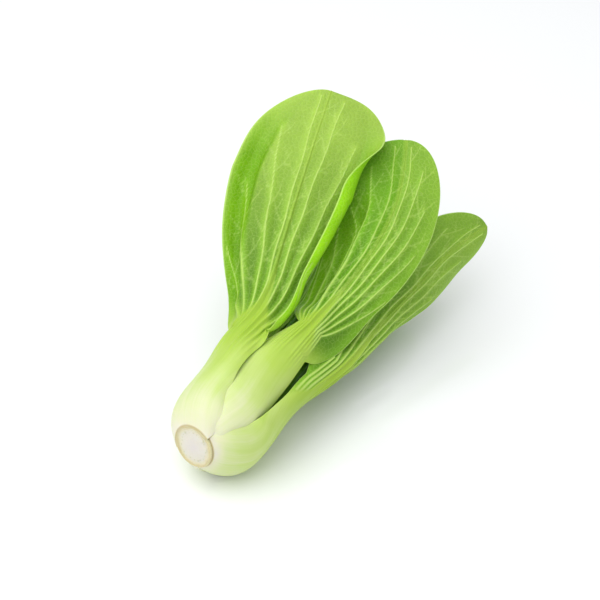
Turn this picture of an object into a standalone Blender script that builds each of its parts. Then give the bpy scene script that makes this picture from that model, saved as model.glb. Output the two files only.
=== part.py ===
"""A head of bok choy lying on a table: a cut stem with nine leaves in three layers.

Metres, +Z up. +Y runs from the cut end towards the leaf tips, and the origin is on the table,
in the middle of the flat spot under the swollen foot. Every leaf is one closed solid, its white
stalk and its green blade together, and comes from one formula: a spine, the half widths of stalk
and blade on each side of it, and the folds that the blade's two halves take.
"""

from math import asin, cos, pi, radians, sin

import bmesh
import bpy
import numpy as np

# The swollen foot is a ball of leaf bases, its stem axis pitched a little down towards the leaves.
FOOT_RADIUS = 0.0245
FLAT_SPOT_SINK = 0.0008
STEM_PITCH = radians(-8.0)
LAYER_RADII = (FOOT_RADIUS, 0.0187, 0.0130)
LAYER_STARTS = (0.0112, 0.0105, 0.0095)
LAYER_FLESH = (0.0047, 0.0045, 0.0040)
FOOT_CENTRE = np.array([0.0, 0.0, FOOT_RADIUS - FLAT_SPOT_SINK])
ALONG = np.array([0.0, cos(STEM_PITCH), sin(STEM_PITCH)])
UPWARD = np.array([0.0, -sin(STEM_PITCH), cos(STEM_PITCH)])
SIDEWAYS = np.array([1.0, 0.0, 0.0])

# The short stem inside the foot: place along the axis from the foot's centre, and radius.
CORE_PROFILE = (
    (-0.0232, 0.0100),
    (-0.0228, 0.0104),
    (-0.0218, 0.0099),
    (-0.0202, 0.0090),
    (-0.0146, 0.0076),
    (-0.0086, 0.0062),
    (-0.0036, 0.0040),
    (-0.0008, 0.0013),
)
CORE_SIDES = 32

# What all leaves share: the thin blade, and the half width of its lip where the outline closes.
BLADE_THICKNESS = 0.0008
EDGE_LIP = 0.0010
# How far up the foot the second of the stalk's half widths is measured.
LOW_FOOT = 0.4
# The spine over the foot, in degrees away from the cut end, and the mesh rows along the leaf.
FOOT_LATITUDES = (38, 58, 78)
LATITUDE_GAP = radians(8)
FOOT_ROWS = 6
STALK_ROWS = 5
# A leaf's back turns from the round of the foot towards where the blade faces, over the stalk
# and this far past the neck; its section lets go of the stem axis over a shorter stretch.
TURN_PAST_NECK = 0.030
LEAVING_FOOT = 0.8
LEAVING_STRETCH = 0.025
# The stalk goes on in the blade as a rib: its half width there, and how far up it narrows.
RIB_WIDTH = 0.0010
RIB_END_WIDTH = 0.0005
RIB_NARROWS_BY = 0.26
WRAP_SETTLES_BY = 0.4
OPENING_START = 0.9
OPENING_RATE = 1.3
ACROSS_STEPS = 81
PATH_STEPS = 400
TINY = 1e-9
# Flesh under the skin: at the cut, then as shares of the layer's full flesh, and at the tip.
BASE_FLESH = 0.0012
TIP_FLESH = 0.0003
FLESH_SHARES = (0.6, 1.0, 0.70, 0.22)
FLESH_LOW_FOOT = 0.35
FLESH_UP_BLADE = 0.30
FLESH_ROUNDING = (2.2, 1.1)
# On the blade most of the flesh stands out on the leaf's back, from this far past the neck.
RIB_SHARE_OUTSIDE = 0.7
RIB_RISES_BY = 0.020
# Past the cut a leaf base swells: its middle by the leaf's crown, its edges down by its tuck.
SWELLS_BY = 0.008
SWELLING_ENDS = 0.024
SWELLING_POWER = 4
SMOOTH_BELOW = radians(50)

NO_FOLD = ((0.0, 0), (1.0, 0))
USUAL_SPAN = (0.02, 0.30, 0.75, 1.10)
# Mesh columns out from the spine: up to 1 across the stalk, from 1 to 2 across the blade.
STALK_COLUMNS = (0.34, 0.67, 1.0)
FOLDED_COLUMNS = (1.2, 1.4, 1.55, 1.7, 1.85, 2.0)
OPEN_COLUMNS = (1.25, 1.5, 1.75, 2.0)
PLAIN_COLUMNS = (1.3, 1.65, 2.0)

LEAF_GREEN = (0.22, 0.48, 0.06, 1.0)
LEAF_ROUGHNESS = 0.4
CUT_CREAM = (0.86, 0.80, 0.66, 1.0)
CUT_ROUGHNESS = 0.6

# turn: degrees round the stem, 0 on top, growing towards +X. layer: 0 is outermost.
# path: the spine after the foot. neck: length along the spine where the blade begins.
# facing: where the leaf's back looks in the blade. stalk: half widths at the cut, low on the foot,
# at its end, half way up and at the neck, left and right of the spine as seen from the back.
# blade: its greatest half width, where along it that is, and how its outline rounds off below
# and above. early: how far below the neck that side begins. wrap: degrees that each half bends
# towards the inside half way up the stalk, at the neck, past it and at the tip; wrap_right is
# for a right half that bends differently. folds: share of the half width against the degrees
# that the blade has turned there, and span: the stretch of blade that folds. radius: the leaf's
# own radius on the foot. crown and tuck: how far its swollen base stands out in the middle and
# sinks at its edges.
LEAVES = (
    dict(
        name="leaf_outer_upper",
        layer=0,
        turn=-35,
        path=((-0.0150, 0.0152, 0.0483), (-0.0160, 0.0312, 0.0513), (-0.0160, 0.0462, 0.0553),
              (-0.0210, 0.0682, 0.0683), (-0.0300, 0.0942, 0.0843), (-0.0380, 0.1202, 0.1023),
              (-0.0460, 0.1482, 0.1223)),
        neck=0.068,
        facing=(0.40, -0.35, 0.85),
        stalk_left=(0.0146, 0.0257, 0.0300, 0.0190, 0.0070),
        stalk_right=(0.0140, 0.0240, 0.0166, 0.0125, 0.0120),
        blade_left=(0.0392, 0.62, 1.6, 1.6),
        blade_right=(0.0360, 0.60, 1.4, 3.4),
        crown=0.0001,
        tuck=0.0007,
        early_left=0.006,
        radius=0.0256,
        wrap_right=(22, 30, 14, 10),
        span_left=(-0.10, 0.12, 0.62, 0.95),
        wrap=(62, 45, 14, 10),
        folds_left=((0.48, 0), (0.60, -78), (0.72, -20), (0.86, 35), (1.0, 10)),
        folds_right=((0.64, 0), (0.78, 122), (1.0, 178)),
        span_right=(-0.12, 0.06, 0.60, 0.98),
        columns=FOLDED_COLUMNS,
        blade_rows=14,
    ),
    dict(
        name="leaf_outer_right",
        layer=0,
        turn=108,
        path=((0.0240, 0.0132, 0.0253), (0.0220, 0.0332, 0.0283), (0.0220, 0.0522, 0.0283),
              (0.0230, 0.0712, 0.0293), (0.0230, 0.1002, 0.0353), (0.0240, 0.1302, 0.0403),
              (0.0250, 0.1622, 0.0453), (0.0290, 0.1882, 0.0463)),
        neck=0.092,
        facing=(0.80, -0.45, 0.40),
        stalk_left=(0.0116, 0.0214, 0.0200, 0.0088, 0.0085),
        stalk_right=(0.0115, 0.0205, 0.0240, 0.0115, 0.0055),
        blade_left=(0.025, 0.50, 1.25, 1.8),
        blade_right=(0.014, 0.65, 1.3, 2.0),
        early_left=0.018,
        crown=0.0,
        tuck=0.0002,
        radius=0.0242,
        wrap=(60, 40, 14, 10),
        folds_right=((0.3, 0), (1.0, -20)),
        columns=OPEN_COLUMNS,
        blade_rows=13,
    ),
    dict(
        name="leaf_outer_under",
        layer=0,
        turn=212,
        path=((-0.0140, 0.0152, 0.0020), (-0.0140, 0.0372, 0.0030), (-0.0150, 0.0682, 0.0030),
              (-0.0180, 0.1072, 0.0035), (-0.0190, 0.1422, 0.0045), (-0.0200, 0.1722, 0.0080)),
        neck=0.085,
        facing=(-0.1, 0.0, -0.99),
        stalk_left=(0.0062, 0.0112, 0.0140, 0.0130, 0.0100),
        stalk_right=(0.0055, 0.0108, 0.0152, 0.0150, 0.0100),
        blade_left=(0.018, 0.6, 1.6, 2.0),
        blade_right=(0.022, 0.6, 1.6, 2.0),
        wrap=(60, 50, 20, 16),
        columns=PLAIN_COLUMNS,
        blade_rows=10,
    ),
    dict(
        name="leaf_second_middle",
        layer=1,
        turn=36,
        path=((0.0100, 0.0202, 0.0443), (0.0080, 0.0402, 0.0483), (0.0080, 0.0602, 0.0513),
              (0.0080, 0.0782, 0.0553), (0.0110, 0.0942, 0.0653), (0.0110, 0.1162, 0.0773),
              (0.0050, 0.1382, 0.0883), (-0.0070, 0.1602, 0.1013)),
        neck=0.082,
        facing=(0.35, -0.55, 0.75),
        stalk_left=(0.0020, 0.0042, 0.0140, 0.0128, 0.0062),
        stalk_right=(0.0020, 0.0028, 0.0084, 0.0112, 0.0078),
        blade_left=(0.038, 0.60, 1.4, 2.0),
        blade_right=(0.0218, 0.60, 1.8, 2.2),
        early_right=0.014,
        crown=0.0007,
        tuck=0.0016,
        radius=0.0226,
        wrap=(45, 45, 14, 10),
        folds_left=((0.18, 0), (0.35, -95), (0.55, -20), (1.0, 10)),
        span_left=(0.0, 0.15, 0.5, 0.8),
        folds_right=((0.3, 0), (1.0, -10)),
        columns=FOLDED_COLUMNS,
        blade_rows=14,
    ),
    dict(
        name="leaf_second_under",
        layer=1,
        turn=172,
        path=((0.0020, 0.0222, 0.0078), (0.0020, 0.0472, 0.0098), (0.0020, 0.0772, 0.0128),
              (0.0000, 0.1072, 0.0168), (-0.0020, 0.1422, 0.0228), (-0.0030, 0.1682, 0.0298)),
        neck=0.085,
        facing=(0.15, -0.15, -0.95),
        stalk_left=(0.0080, 0.0070, 0.0060, 0.0085, 0.0080),
        stalk_right=(0.0080, 0.0095, 0.0100, 0.0100, 0.0090),
        blade_left=(0.014, 0.6, 1.6, 2.0),
        blade_right=(0.020, 0.6, 1.6, 2.0),
        wrap=(60, 50, 24, 16),
        columns=PLAIN_COLUMNS,
        blade_rows=9,
    ),
    dict(
        name="leaf_second_left",
        layer=1,
        turn=280,
        path=((-0.0170, 0.0222, 0.0303), (-0.0160, 0.0472, 0.0323), (-0.0190, 0.0772, 0.0373),
              (-0.0250, 0.1072, 0.0463), (-0.0330, 0.1372, 0.0593), (-0.0400, 0.1602, 0.0733)),
        neck=0.080,
        facing=(-0.85, -0.15, 0.45),
        stalk_left=(0.0080, 0.0120, 0.0145, 0.0120, 0.0090),
        stalk_right=(0.0080, 0.0110, 0.0125, 0.0080, 0.0050),
        blade_left=(0.020, 0.6, 1.6, 2.0),
        blade_right=(0.012, 0.6, 1.6, 2.0),
        wrap=(60, 50, 24, 16),
        columns=PLAIN_COLUMNS,
        blade_rows=9,
    ),
    dict(
        name="leaf_inner_right",
        layer=2,
        turn=95,
        path=((0.0130, 0.0242, 0.0263), (0.0110, 0.0472, 0.0303), (0.0070, 0.0772, 0.0373),
              (0.0030, 0.1072, 0.0463), (-0.0020, 0.1322, 0.0573), (-0.0060, 0.1502, 0.0693)),
        neck=0.070,
        facing=(0.8, -0.3, 0.4),
        stalk_left=(0.0065, 0.0090, 0.0110, 0.0090, 0.0060),
        stalk_right=(0.0065, 0.0090, 0.0110, 0.0090, 0.0060),
        blade_left=(0.008, 0.6, 1.6, 2.0),
        blade_right=(0.012, 0.6, 1.6, 2.0),
        wrap=(60, 50, 24, 16),
        columns=PLAIN_COLUMNS,
        blade_rows=9,
    ),
    dict(
        name="leaf_inner_under",
        layer=2,
        turn=215,
        path=((-0.0060, 0.0242, 0.0173), (-0.0060, 0.0472, 0.0213), (-0.0070, 0.0772, 0.0273),
              (-0.0090, 0.1072, 0.0343), (-0.0120, 0.1322, 0.0433), (-0.0140, 0.1502, 0.0533)),
        neck=0.070,
        facing=(-0.4, 0.1, -0.8),
        stalk_left=(0.0065, 0.0090, 0.0110, 0.0090, 0.0060),
        stalk_right=(0.0065, 0.0090, 0.0110, 0.0090, 0.0060),
        blade_left=(0.015, 0.6, 1.6, 2.0),
        blade_right=(0.009, 0.6, 1.6, 2.0),
        wrap=(60, 50, 24, 16),
        columns=PLAIN_COLUMNS,
        blade_rows=9,
    ),
    dict(
        name="leaf_inner_top",
        layer=2,
        turn=335,
        path=((-0.0030, 0.0242, 0.0333), (-0.0035, 0.0472, 0.0378), (-0.0045, 0.0772, 0.0458),
              (-0.0080, 0.1072, 0.0573), (-0.0130, 0.1282, 0.0693), (-0.0170, 0.1442, 0.0803)),
        neck=0.070,
        facing=(-0.2, -0.3, 0.9),
        stalk_left=(0.0065, 0.0090, 0.0110, 0.0070, 0.0060),
        stalk_right=(0.0065, 0.0085, 0.0100, 0.0050, 0.0050),
        blade_left=(0.0085, 0.6, 1.6, 2.0),
        blade_right=(0.0120, 0.6, 1.6, 2.0),
        wrap=(60, 50, 24, 16),
        columns=PLAIN_COLUMNS,
        blade_rows=9,
    ),
)


def clear_scene():
    for obj in list(bpy.data.objects):
        bpy.data.objects.remove(obj)


def unit(vectors):
    vectors = np.asarray(vectors, float)
    return vectors / np.maximum(np.linalg.norm(vectors, axis=-1, keepdims=True), TINY)


def ease(x):
    x = np.clip(x, 0.0, 1.0)
    return x * x * (3.0 - 2.0 * x)


def eased_steps(x, stations, values):
    """Values that change smoothly from each station to the next, level at the stations."""
    x = np.asarray(x, float)
    out = np.full(x.shape, float(values[0]))
    for a, b, before, after in zip(stations, stations[1:], values, values[1:]):
        out = np.where(x > a, before + (after - before) * ease((x - a) / (b - a)), out)
    return out


def smooth_steps(x, stations, values):
    """Values that sweep through the stations without a flat spot or an overshoot."""
    stations, values = np.asarray(stations, float), np.asarray(values, float)
    gaps = np.diff(stations)
    rises = np.diff(values) / gaps
    slopes = np.concatenate([rises[:1], np.zeros(len(gaps) - 1), rises[-1:]])
    for i in range(1, len(gaps)):
        if rises[i - 1] * rises[i] > 0:
            before, after = gaps[i - 1] + 2 * gaps[i], 2 * gaps[i - 1] + gaps[i]
            slopes[i] = (before + after) / (before / rises[i - 1] + after / rises[i])
    k = np.clip(np.searchsorted(stations, x, "right") - 1, 0, len(gaps) - 1)
    t = (np.clip(x, stations[0], stations[-1]) - stations[k]) / gaps[k]
    start = values[k] * (1 + 2 * t) + slopes[k] * gaps[k] * t
    end = values[k + 1] * (3 - 2 * t) - slopes[k + 1] * gaps[k] * (1 - t)
    return start * (1 - t) ** 2 + end * t**2


def radial(turn):
    """The direction away from the stem axis at this turn angle."""
    return SIDEWAYS * sin(turn) + UPWARD * cos(turn)


def smooth_path(points):
    """A natural cubic spline through the points, and the length along it at each place."""
    points = np.asarray(points, float)
    gaps = np.linalg.norm(np.diff(points, axis=0), axis=1)
    knots = np.concatenate([[0.0], np.cumsum(gaps)])
    last = len(points) - 1
    system = np.zeros((last + 1, last + 1))
    known = np.zeros((last + 1, 3))
    system[0, 0] = system[last, last] = 1.0
    for i in range(1, last):
        system[i, i - 1 : i + 2] = gaps[i - 1], 2.0 * (gaps[i - 1] + gaps[i]), gaps[i]
        rise_after = (points[i + 1] - points[i]) / gaps[i]
        rise_before = (points[i] - points[i - 1]) / gaps[i - 1]
        known[i] = 6.0 * (rise_after - rise_before)
    bend = np.linalg.solve(system, known)
    x = np.linspace(0.0, knots[-1], PATH_STEPS)
    k = np.clip(np.searchsorted(knots, x, "right") - 1, 0, last - 1)
    after = (x - knots[k])[:, None]
    gap = gaps[k][:, None]
    before = gap - after
    places = (bend[k] * before**3 + bend[k + 1] * after**3) / (6.0 * gap)
    places += (points[k] / gap - bend[k] * gap / 6.0) * before
    places += (points[k + 1] / gap - bend[k + 1] * gap / 6.0) * after
    steps = np.linalg.norm(np.diff(places, axis=0), axis=1)
    return places, np.concatenate([[0.0], np.cumsum(steps)])


def foot_points(turn, radius, start):
    """Points on the round foot, from the cut stem outwards."""
    angles = [asin(start / radius)]
    angles += [radians(d) for d in FOOT_LATITUDES if radians(d) > angles[0] + LATITUDE_GAP]
    return [FOOT_CENTRE + radius * (radial(turn) * sin(a) - ALONG * cos(a)) for a in angles]


def blade_outline(x, widest, below, above):
    """Share of the greatest half width at x, from 0 at the neck to 1 at the tip."""
    low = 1.0 - np.clip((widest - x) / widest, 0, 1) ** below
    high = 1.0 - np.clip((x - widest) / (1.0 - widest), 0, 1) ** above
    return np.where(x < widest, low ** (1.0 / below), high ** (1.0 / above))


def spine(leaf):
    """Spine of a leaf: places and lengths along it, and the length of its part on the foot."""
    layer = leaf["layer"]
    radius, start = leaf.get("radius", LAYER_RADII[layer]), LAYER_STARTS[layer]
    turn = radians(leaf["turn"])
    places, length = smooth_path(foot_points(turn, radius, start) + list(leaf["path"]))
    return places, length, radius * (pi / 2 - asin(start / radius))


def row_lengths(leaf):
    """Where the rows of the mesh lie along the spine: close together on the foot and at both
    ends of the blade."""
    _, length, foot = spine(leaf)
    neck, total = leaf["neck"], length[-1]
    ends = 0.5 - 0.5 * np.cos(pi * np.linspace(0, 1, leaf["blade_rows"]))
    on_foot = np.linspace(0, foot, FOOT_ROWS)
    on_stalk = np.linspace(foot, neck, STALK_ROWS)[1:]
    return np.concatenate([on_foot, on_stalk, neck + (total - neck) * ends[1:]])


def frames(leaf, along):
    """Place, outward normal and sideways direction of the leaf's section at each row."""
    places, length, foot = spine(leaf)
    neck = leaf["neck"]
    tangents = np.gradient(places, length, axis=0)
    place = np.stack([np.interp(along, length, places[:, i]) for i in range(3)], -1)
    tangent = unit(np.stack([np.interp(along, length, tangents[:, i]) for i in range(3)], -1))
    to_blade = ease((along - foot) / (neck + TURN_PAST_NECK - foot))[:, None]
    outward = radial(radians(leaf["turn"])) * (1 - to_blade) + unit(leaf["facing"]) * to_blade
    leaves_foot = ease((along - LEAVING_FOOT * foot) / LEAVING_STRETCH)[:, None]
    forward = unit(ALONG * (1 - leaves_foot) + tangent * leaves_foot)
    normal = unit(outward - (outward * forward).sum(-1, keepdims=True) * forward)
    return place, normal, np.cross(forward, normal)


def half_section(leaf, along, side, place):
    """Half widths of stalk and blade on one side, and the path across it: how far sideways and
    how far outwards a point has come, as a share of the half width."""
    _, length, foot = spine(leaf)
    neck, total = leaf["neck"], length[-1]
    x = (along - neck) / (total - neck)
    rib_end = neck + RIB_NARROWS_BY * (total - neck)
    half_way = (foot + neck) / 2
    stations = (0, LOW_FOOT * foot, foot, half_way, neck, rib_end, total)
    stalk = smooth_steps(along, stations, leaf["stalk_" + side] + (RIB_WIDTH, RIB_END_WIDTH))
    greatest, widest, below, above = leaf["blade_" + side]
    early = leaf.get("early_" + side, 0.0)
    from_start = np.clip((along - neck + early) / (total - neck + early), 0, 1)
    blade = EDGE_LIP + greatest * blade_outline(from_start, widest, below, above)
    half = stalk + blade
    # On the foot a leaf follows the round of its layer, and further out it has its own bend.
    from_axis = place - FOOT_CENTRE
    from_axis = np.linalg.norm(from_axis - (from_axis @ ALONG)[:, None] * ALONG, axis=1)
    stations = (half_way, neck, neck + WRAP_SETTLES_BY * (total - neck), total)
    wrap = np.radians(eased_steps(along, stations, leaf.get("wrap_" + side, leaf["wrap"])))
    opening = OPENING_START * foot
    on_foot = 1 - ease(OPENING_RATE * (along - opening) / (neck - opening))
    wrap = wrap * (1 - on_foot) + on_foot * half / np.maximum(from_axis, TINY)
    across = np.linspace(0, 1, ACROSS_STEPS)
    shares, angles = zip(*leaf.get("folds_" + side, NO_FOLD))
    a, b, c, d = leaf.get("span_" + side, USUAL_SPAN)
    amount = ease((x - a) / (b - a)) * (1 - ease((x - c) / (d - c)))
    fold = np.radians(eased_steps(across, shares, angles))
    heading = -wrap[:, None] * across + fold * amount[:, None]
    gone = []
    for component in (np.cos(heading), np.sin(heading)):
        middle = (component[:, 1:] + component[:, :-1]) / 2
        run = np.cumsum(middle, axis=1) / (len(across) - 1)
        gone.append(np.concatenate([np.zeros((len(along), 1)), run], axis=1))
    return stalk, blade, across, gone


def back_normals(grid, normal):
    """Normals of a grid of points, on the side of the leaf's back."""
    normals = unit(np.cross(np.gradient(grid, axis=0), np.gradient(grid, axis=1)))
    if (normals[:, grid.shape[1] // 2] * normal).sum() < 0:
        normals = -normals
    return normals


def leaf_grid(leaf):
    """The leaf's back as a grid of points, and how far each is across the stalk, 0 to 1."""
    _, _, foot = spine(leaf)
    along = row_lengths(leaf)
    place, normal, sideways = frames(leaf, along)
    right = STALK_COLUMNS + leaf["columns"]
    columns = np.array([-c for c in right[::-1]] + [0.0] + list(right))
    grid = np.zeros((len(along), len(columns), 3))
    shares = np.zeros((len(along), len(columns)))
    for sign, side in ((-1, "left"), (1, "right")):
        stalk, blade, across, (sidewards, outwards) = half_section(leaf, along, side, place)
        half = stalk + blade
        for j in np.where(columns < 0 if sign < 0 else columns >= 0)[0]:
            column = abs(columns[j])
            share = (stalk * min(column, 1) + blade * max(column - 1, 0)) / half
            shares[:, j] = share
            for i, at in enumerate(share):
                step_side = sign * half[i] * np.interp(at, across, sidewards[i])
                step_out = half[i] * np.interp(at, across, outwards[i])
                grid[i, j] = place[i] + step_side * sideways[i] + step_out * normal[i]
    swelling = ease(along / SWELLS_BY) * (1 - ease((along - foot) / SWELLING_ENDS))
    sunk = np.minimum(np.abs(shares), 1) ** SWELLING_POWER
    step_out = leaf.get("crown", 0.0) * (1 - sunk) - leaf.get("tuck", 0.0) * sunk
    grid += back_normals(grid, normal) * (swelling[:, None] * step_out)[..., None]
    return along, grid, back_normals(grid, normal), np.minimum(np.abs(columns), 1)


def leaf_skins(leaf):
    """Outer and inner skin. The flesh of the stalk lies inside the foot's round outline, and
    comes out as a rib on the back of the blade."""
    along, grid, skin_normal, across_stalk = leaf_grid(leaf)
    _, length, foot = spine(leaf)
    neck, total = leaf["neck"], length[-1]
    full = LAYER_FLESH[leaf["layer"]]
    up_blade = neck + FLESH_UP_BLADE * (total - neck)
    stations = (0, FLESH_LOW_FOOT * foot, foot, neck, up_blade, total)
    depths = (BASE_FLESH, *(share * full for share in FLESH_SHARES), TIP_FLESH)
    flesh = eased_steps(along, stations, depths)[:, None]
    power, root = FLESH_ROUNDING
    flesh = flesh * (1 - across_stalk**power) ** root
    risen = ease((along - foot) / (neck + RIB_RISES_BY - foot))[:, None]
    outside = RIB_SHARE_OUTSIDE * risen
    outer = grid + skin_normal * (flesh * outside)[..., None]
    inner = grid - skin_normal * (flesh * (1 - outside) + BLADE_THICKNESS)[..., None]
    outer[..., 2] = np.maximum(outer[..., 2], 0.0)
    inner[..., 2] = np.maximum(inner[..., 2], BLADE_THICKNESS)
    return outer, inner


def mesh_object(name, points, faces, colour, roughness):
    mesh = bpy.data.meshes.new(name)
    mesh.from_pydata([tuple(p) for p in points], [], faces)
    shape = bmesh.new()
    shape.from_mesh(mesh)
    bmesh.ops.recalc_face_normals(shape, faces=shape.faces)
    shape.to_mesh(mesh)
    shape.free()
    mesh.shade_smooth()
    mesh.set_sharp_from_angle(angle=SMOOTH_BELOW)
    material = bpy.data.materials.new(name)
    material.use_nodes = True
    surface = material.node_tree.nodes["Principled BSDF"]
    surface.inputs["Base Color"].default_value = colour
    surface.inputs["Roughness"].default_value = roughness
    surface.inputs["Metallic"].default_value = 0.0
    mesh.materials.append(material)
    obj = bpy.data.objects.new(name, mesh)
    bpy.context.scene.collection.objects.link(obj)
    return obj


def make_leaf(leaf):
    """Both skins are split into triangles alike and joined round the leaf's edge."""
    outer, inner = leaf_skins(leaf)
    rows, columns = outer.shape[:2]
    index = np.arange(rows * columns).reshape(rows, columns)
    back = rows * columns
    faces = []
    for i in range(rows - 1):
        for j in range(columns - 1):
            a, b, c, d = index[i, j], index[i, j + 1], index[i + 1, j + 1], index[i + 1, j]
            for corners in ((a, b, c), (a, c, d)):
                faces.append(tuple(int(k) for k in corners))
                faces.append(tuple(int(k) + back for k in reversed(corners)))
    ring = [*index[0, :], *index[1:, -1], *index[-1, -2::-1], *index[-2:0:-1, 0]]
    for a, b in zip(ring, ring[1:] + ring[:1]):
        faces.append((int(a), int(a) + back, int(b) + back))
        faces.append((int(a), int(b) + back, int(b)))
    points = np.concatenate([outer.reshape(-1, 3), inner.reshape(-1, 3)])
    return mesh_object(leaf["name"], points, faces, LEAF_GREEN, LEAF_ROUGHNESS)


def make_core():
    """The stem turned about its axis, with the cut face at its broad end."""
    points = []
    for step, radius in CORE_PROFILE:
        for k in range(CORE_SIDES):
            turn = 2 * pi * k / CORE_SIDES
            points.append(FOOT_CENTRE + ALONG * step + radial(turn) * radius)
    faces = []
    for i in range(len(CORE_PROFILE) - 1):
        for k in range(CORE_SIDES):
            a, b = i * CORE_SIDES + k, i * CORE_SIDES + (k + 1) % CORE_SIDES
            faces.append((a, b, b + CORE_SIDES, a + CORE_SIDES))
    first = list(range(CORE_SIDES))
    faces.append(tuple(first))
    faces.append(tuple(len(points) - 1 - k for k in first))
    return mesh_object("stem_core", points, faces, CUT_CREAM, CUT_ROUGHNESS)


clear_scene()
make_core()
for leaf in LEAVES:
    make_leaf(leaf)
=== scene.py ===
# %% [markdown]
# # A head of bok choy lying on a pale table
#
# The real thing is nine leaves that grow round one short stem. Each leaf is a thick pale stalk that
# thins out into a broad green blade, and it is one piece from the cut end to its tip. So the scene
# makes nine leaves and the cut stem, and each one takes the place of the solid of the same name in
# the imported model. Everything is in metres: +Y runs from the cut end to the leaf tips, +Z is up.

# %% Load the fixed frame
from functools import partial
from math import asin, cos, pi, radians, sin

import bpy
import numpy as np
from mathutils import Matrix, Vector


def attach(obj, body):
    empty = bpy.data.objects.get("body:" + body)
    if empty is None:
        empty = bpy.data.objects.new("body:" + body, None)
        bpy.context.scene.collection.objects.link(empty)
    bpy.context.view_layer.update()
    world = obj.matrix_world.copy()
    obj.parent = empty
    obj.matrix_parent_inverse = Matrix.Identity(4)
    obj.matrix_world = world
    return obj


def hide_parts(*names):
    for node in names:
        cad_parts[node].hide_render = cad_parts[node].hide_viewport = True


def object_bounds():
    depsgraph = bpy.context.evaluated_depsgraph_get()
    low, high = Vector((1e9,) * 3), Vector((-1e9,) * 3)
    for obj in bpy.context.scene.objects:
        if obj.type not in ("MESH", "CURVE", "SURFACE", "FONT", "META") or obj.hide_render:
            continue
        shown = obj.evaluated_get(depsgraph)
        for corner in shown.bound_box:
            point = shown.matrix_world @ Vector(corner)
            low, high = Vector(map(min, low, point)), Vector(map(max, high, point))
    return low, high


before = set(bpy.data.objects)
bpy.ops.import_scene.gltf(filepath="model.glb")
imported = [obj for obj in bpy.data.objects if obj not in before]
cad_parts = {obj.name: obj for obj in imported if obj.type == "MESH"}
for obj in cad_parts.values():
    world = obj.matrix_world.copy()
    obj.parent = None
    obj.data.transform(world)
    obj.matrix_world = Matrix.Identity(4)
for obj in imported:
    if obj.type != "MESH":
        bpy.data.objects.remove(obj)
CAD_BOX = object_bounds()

print("solids to dress:", ", ".join(sorted(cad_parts)))

# %% [markdown]
# ## The camera
#
# The head was photographed from close above the cut end, a little from its right, with a long lens.
# The angles and the lens were found by laying the leaves' spines over the photo. The camera's place
# follows from them: the middle of the cut end has to land on its own pixel of the picture.

# %% Camera at the photo's viewing angle
PHOTO_SIZE = 600
LENS_IN_PIXELS = 1700
SENSOR_WIDTH = 36.0
VIEW_AZIMUTH = radians(37)
VIEW_ELEVATION = radians(38)
CUT_END_PIXEL = (193, 447)
CUT_END_DISTANCE = 0.80
# The round foot and the stem's axis, which the leaves and the cut face are placed by.
FOOT_RADIUS = 0.0245
FLAT_SPOT_SINK = 0.0008
STEM_PITCH = radians(-8.0)
FOOT_CENTRE = np.array([0.0, 0.0, FOOT_RADIUS - FLAT_SPOT_SINK])
ALONG = np.array([0.0, cos(STEM_PITCH), sin(STEM_PITCH)])
UPWARD = np.array([0.0, -sin(STEM_PITCH), cos(STEM_PITCH)])
SIDEWAYS = np.array([1.0, 0.0, 0.0])
CUT_FACE_STEP = -0.0232


def new_object(name, data):
    made = bpy.data.objects.new(name, data)
    bpy.context.scene.collection.objects.link(made)
    return made


def place_camera():
    """Turns the camera by the two angles and shifts it until the cut end is on its pixel."""
    azimuth, elevation = VIEW_AZIMUTH, VIEW_ELEVATION
    right = Vector((cos(azimuth), sin(azimuth), 0))
    up = Vector((-sin(azimuth) * sin(elevation), cos(azimuth) * sin(elevation), cos(elevation)))
    back = right.cross(up)
    cut_end = Vector(FOOT_CENTRE + CUT_FACE_STEP * ALONG)
    metres_per_pixel = CUT_END_DISTANCE / LENS_IN_PIXELS
    across = (CUT_END_PIXEL[0] - PHOTO_SIZE / 2) * metres_per_pixel
    down = (CUT_END_PIXEL[1] - PHOTO_SIZE / 2) * metres_per_pixel
    camera = new_object("camera", bpy.data.cameras.new("camera"))
    camera.data.sensor_width = SENSOR_WIDTH
    camera.data.lens = SENSOR_WIDTH * LENS_IN_PIXELS / PHOTO_SIZE
    turn = Matrix((right, up, back)).transposed()
    place = cut_end + back * CUT_END_DISTANCE - right * across + up * down
    camera.matrix_world = Matrix.Translation(place) @ turn.to_4x4()
    bpy.context.scene.camera = camera
    return camera


camera = place_camera()
print("camera at", [round(x, 3) for x in camera.location], "lens", round(camera.data.lens), "mm")

# %% [markdown]
# ## How a leaf of bok choy is shaped
#
# Every leaf follows one rule, so one formula makes all nine. A spine starts at the cut, runs round
# the swollen foot, up the stalk and on to the tip of the blade. On each side of the spine the leaf
# has a half width: stalk first, then blade. Last, the section across the leaf bends and folds.
# Modelling each leaf by hand from a plane would also work, but nine leaves made alike by a formula
# stay easy to change, and they lie exactly where the solids are.

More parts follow.
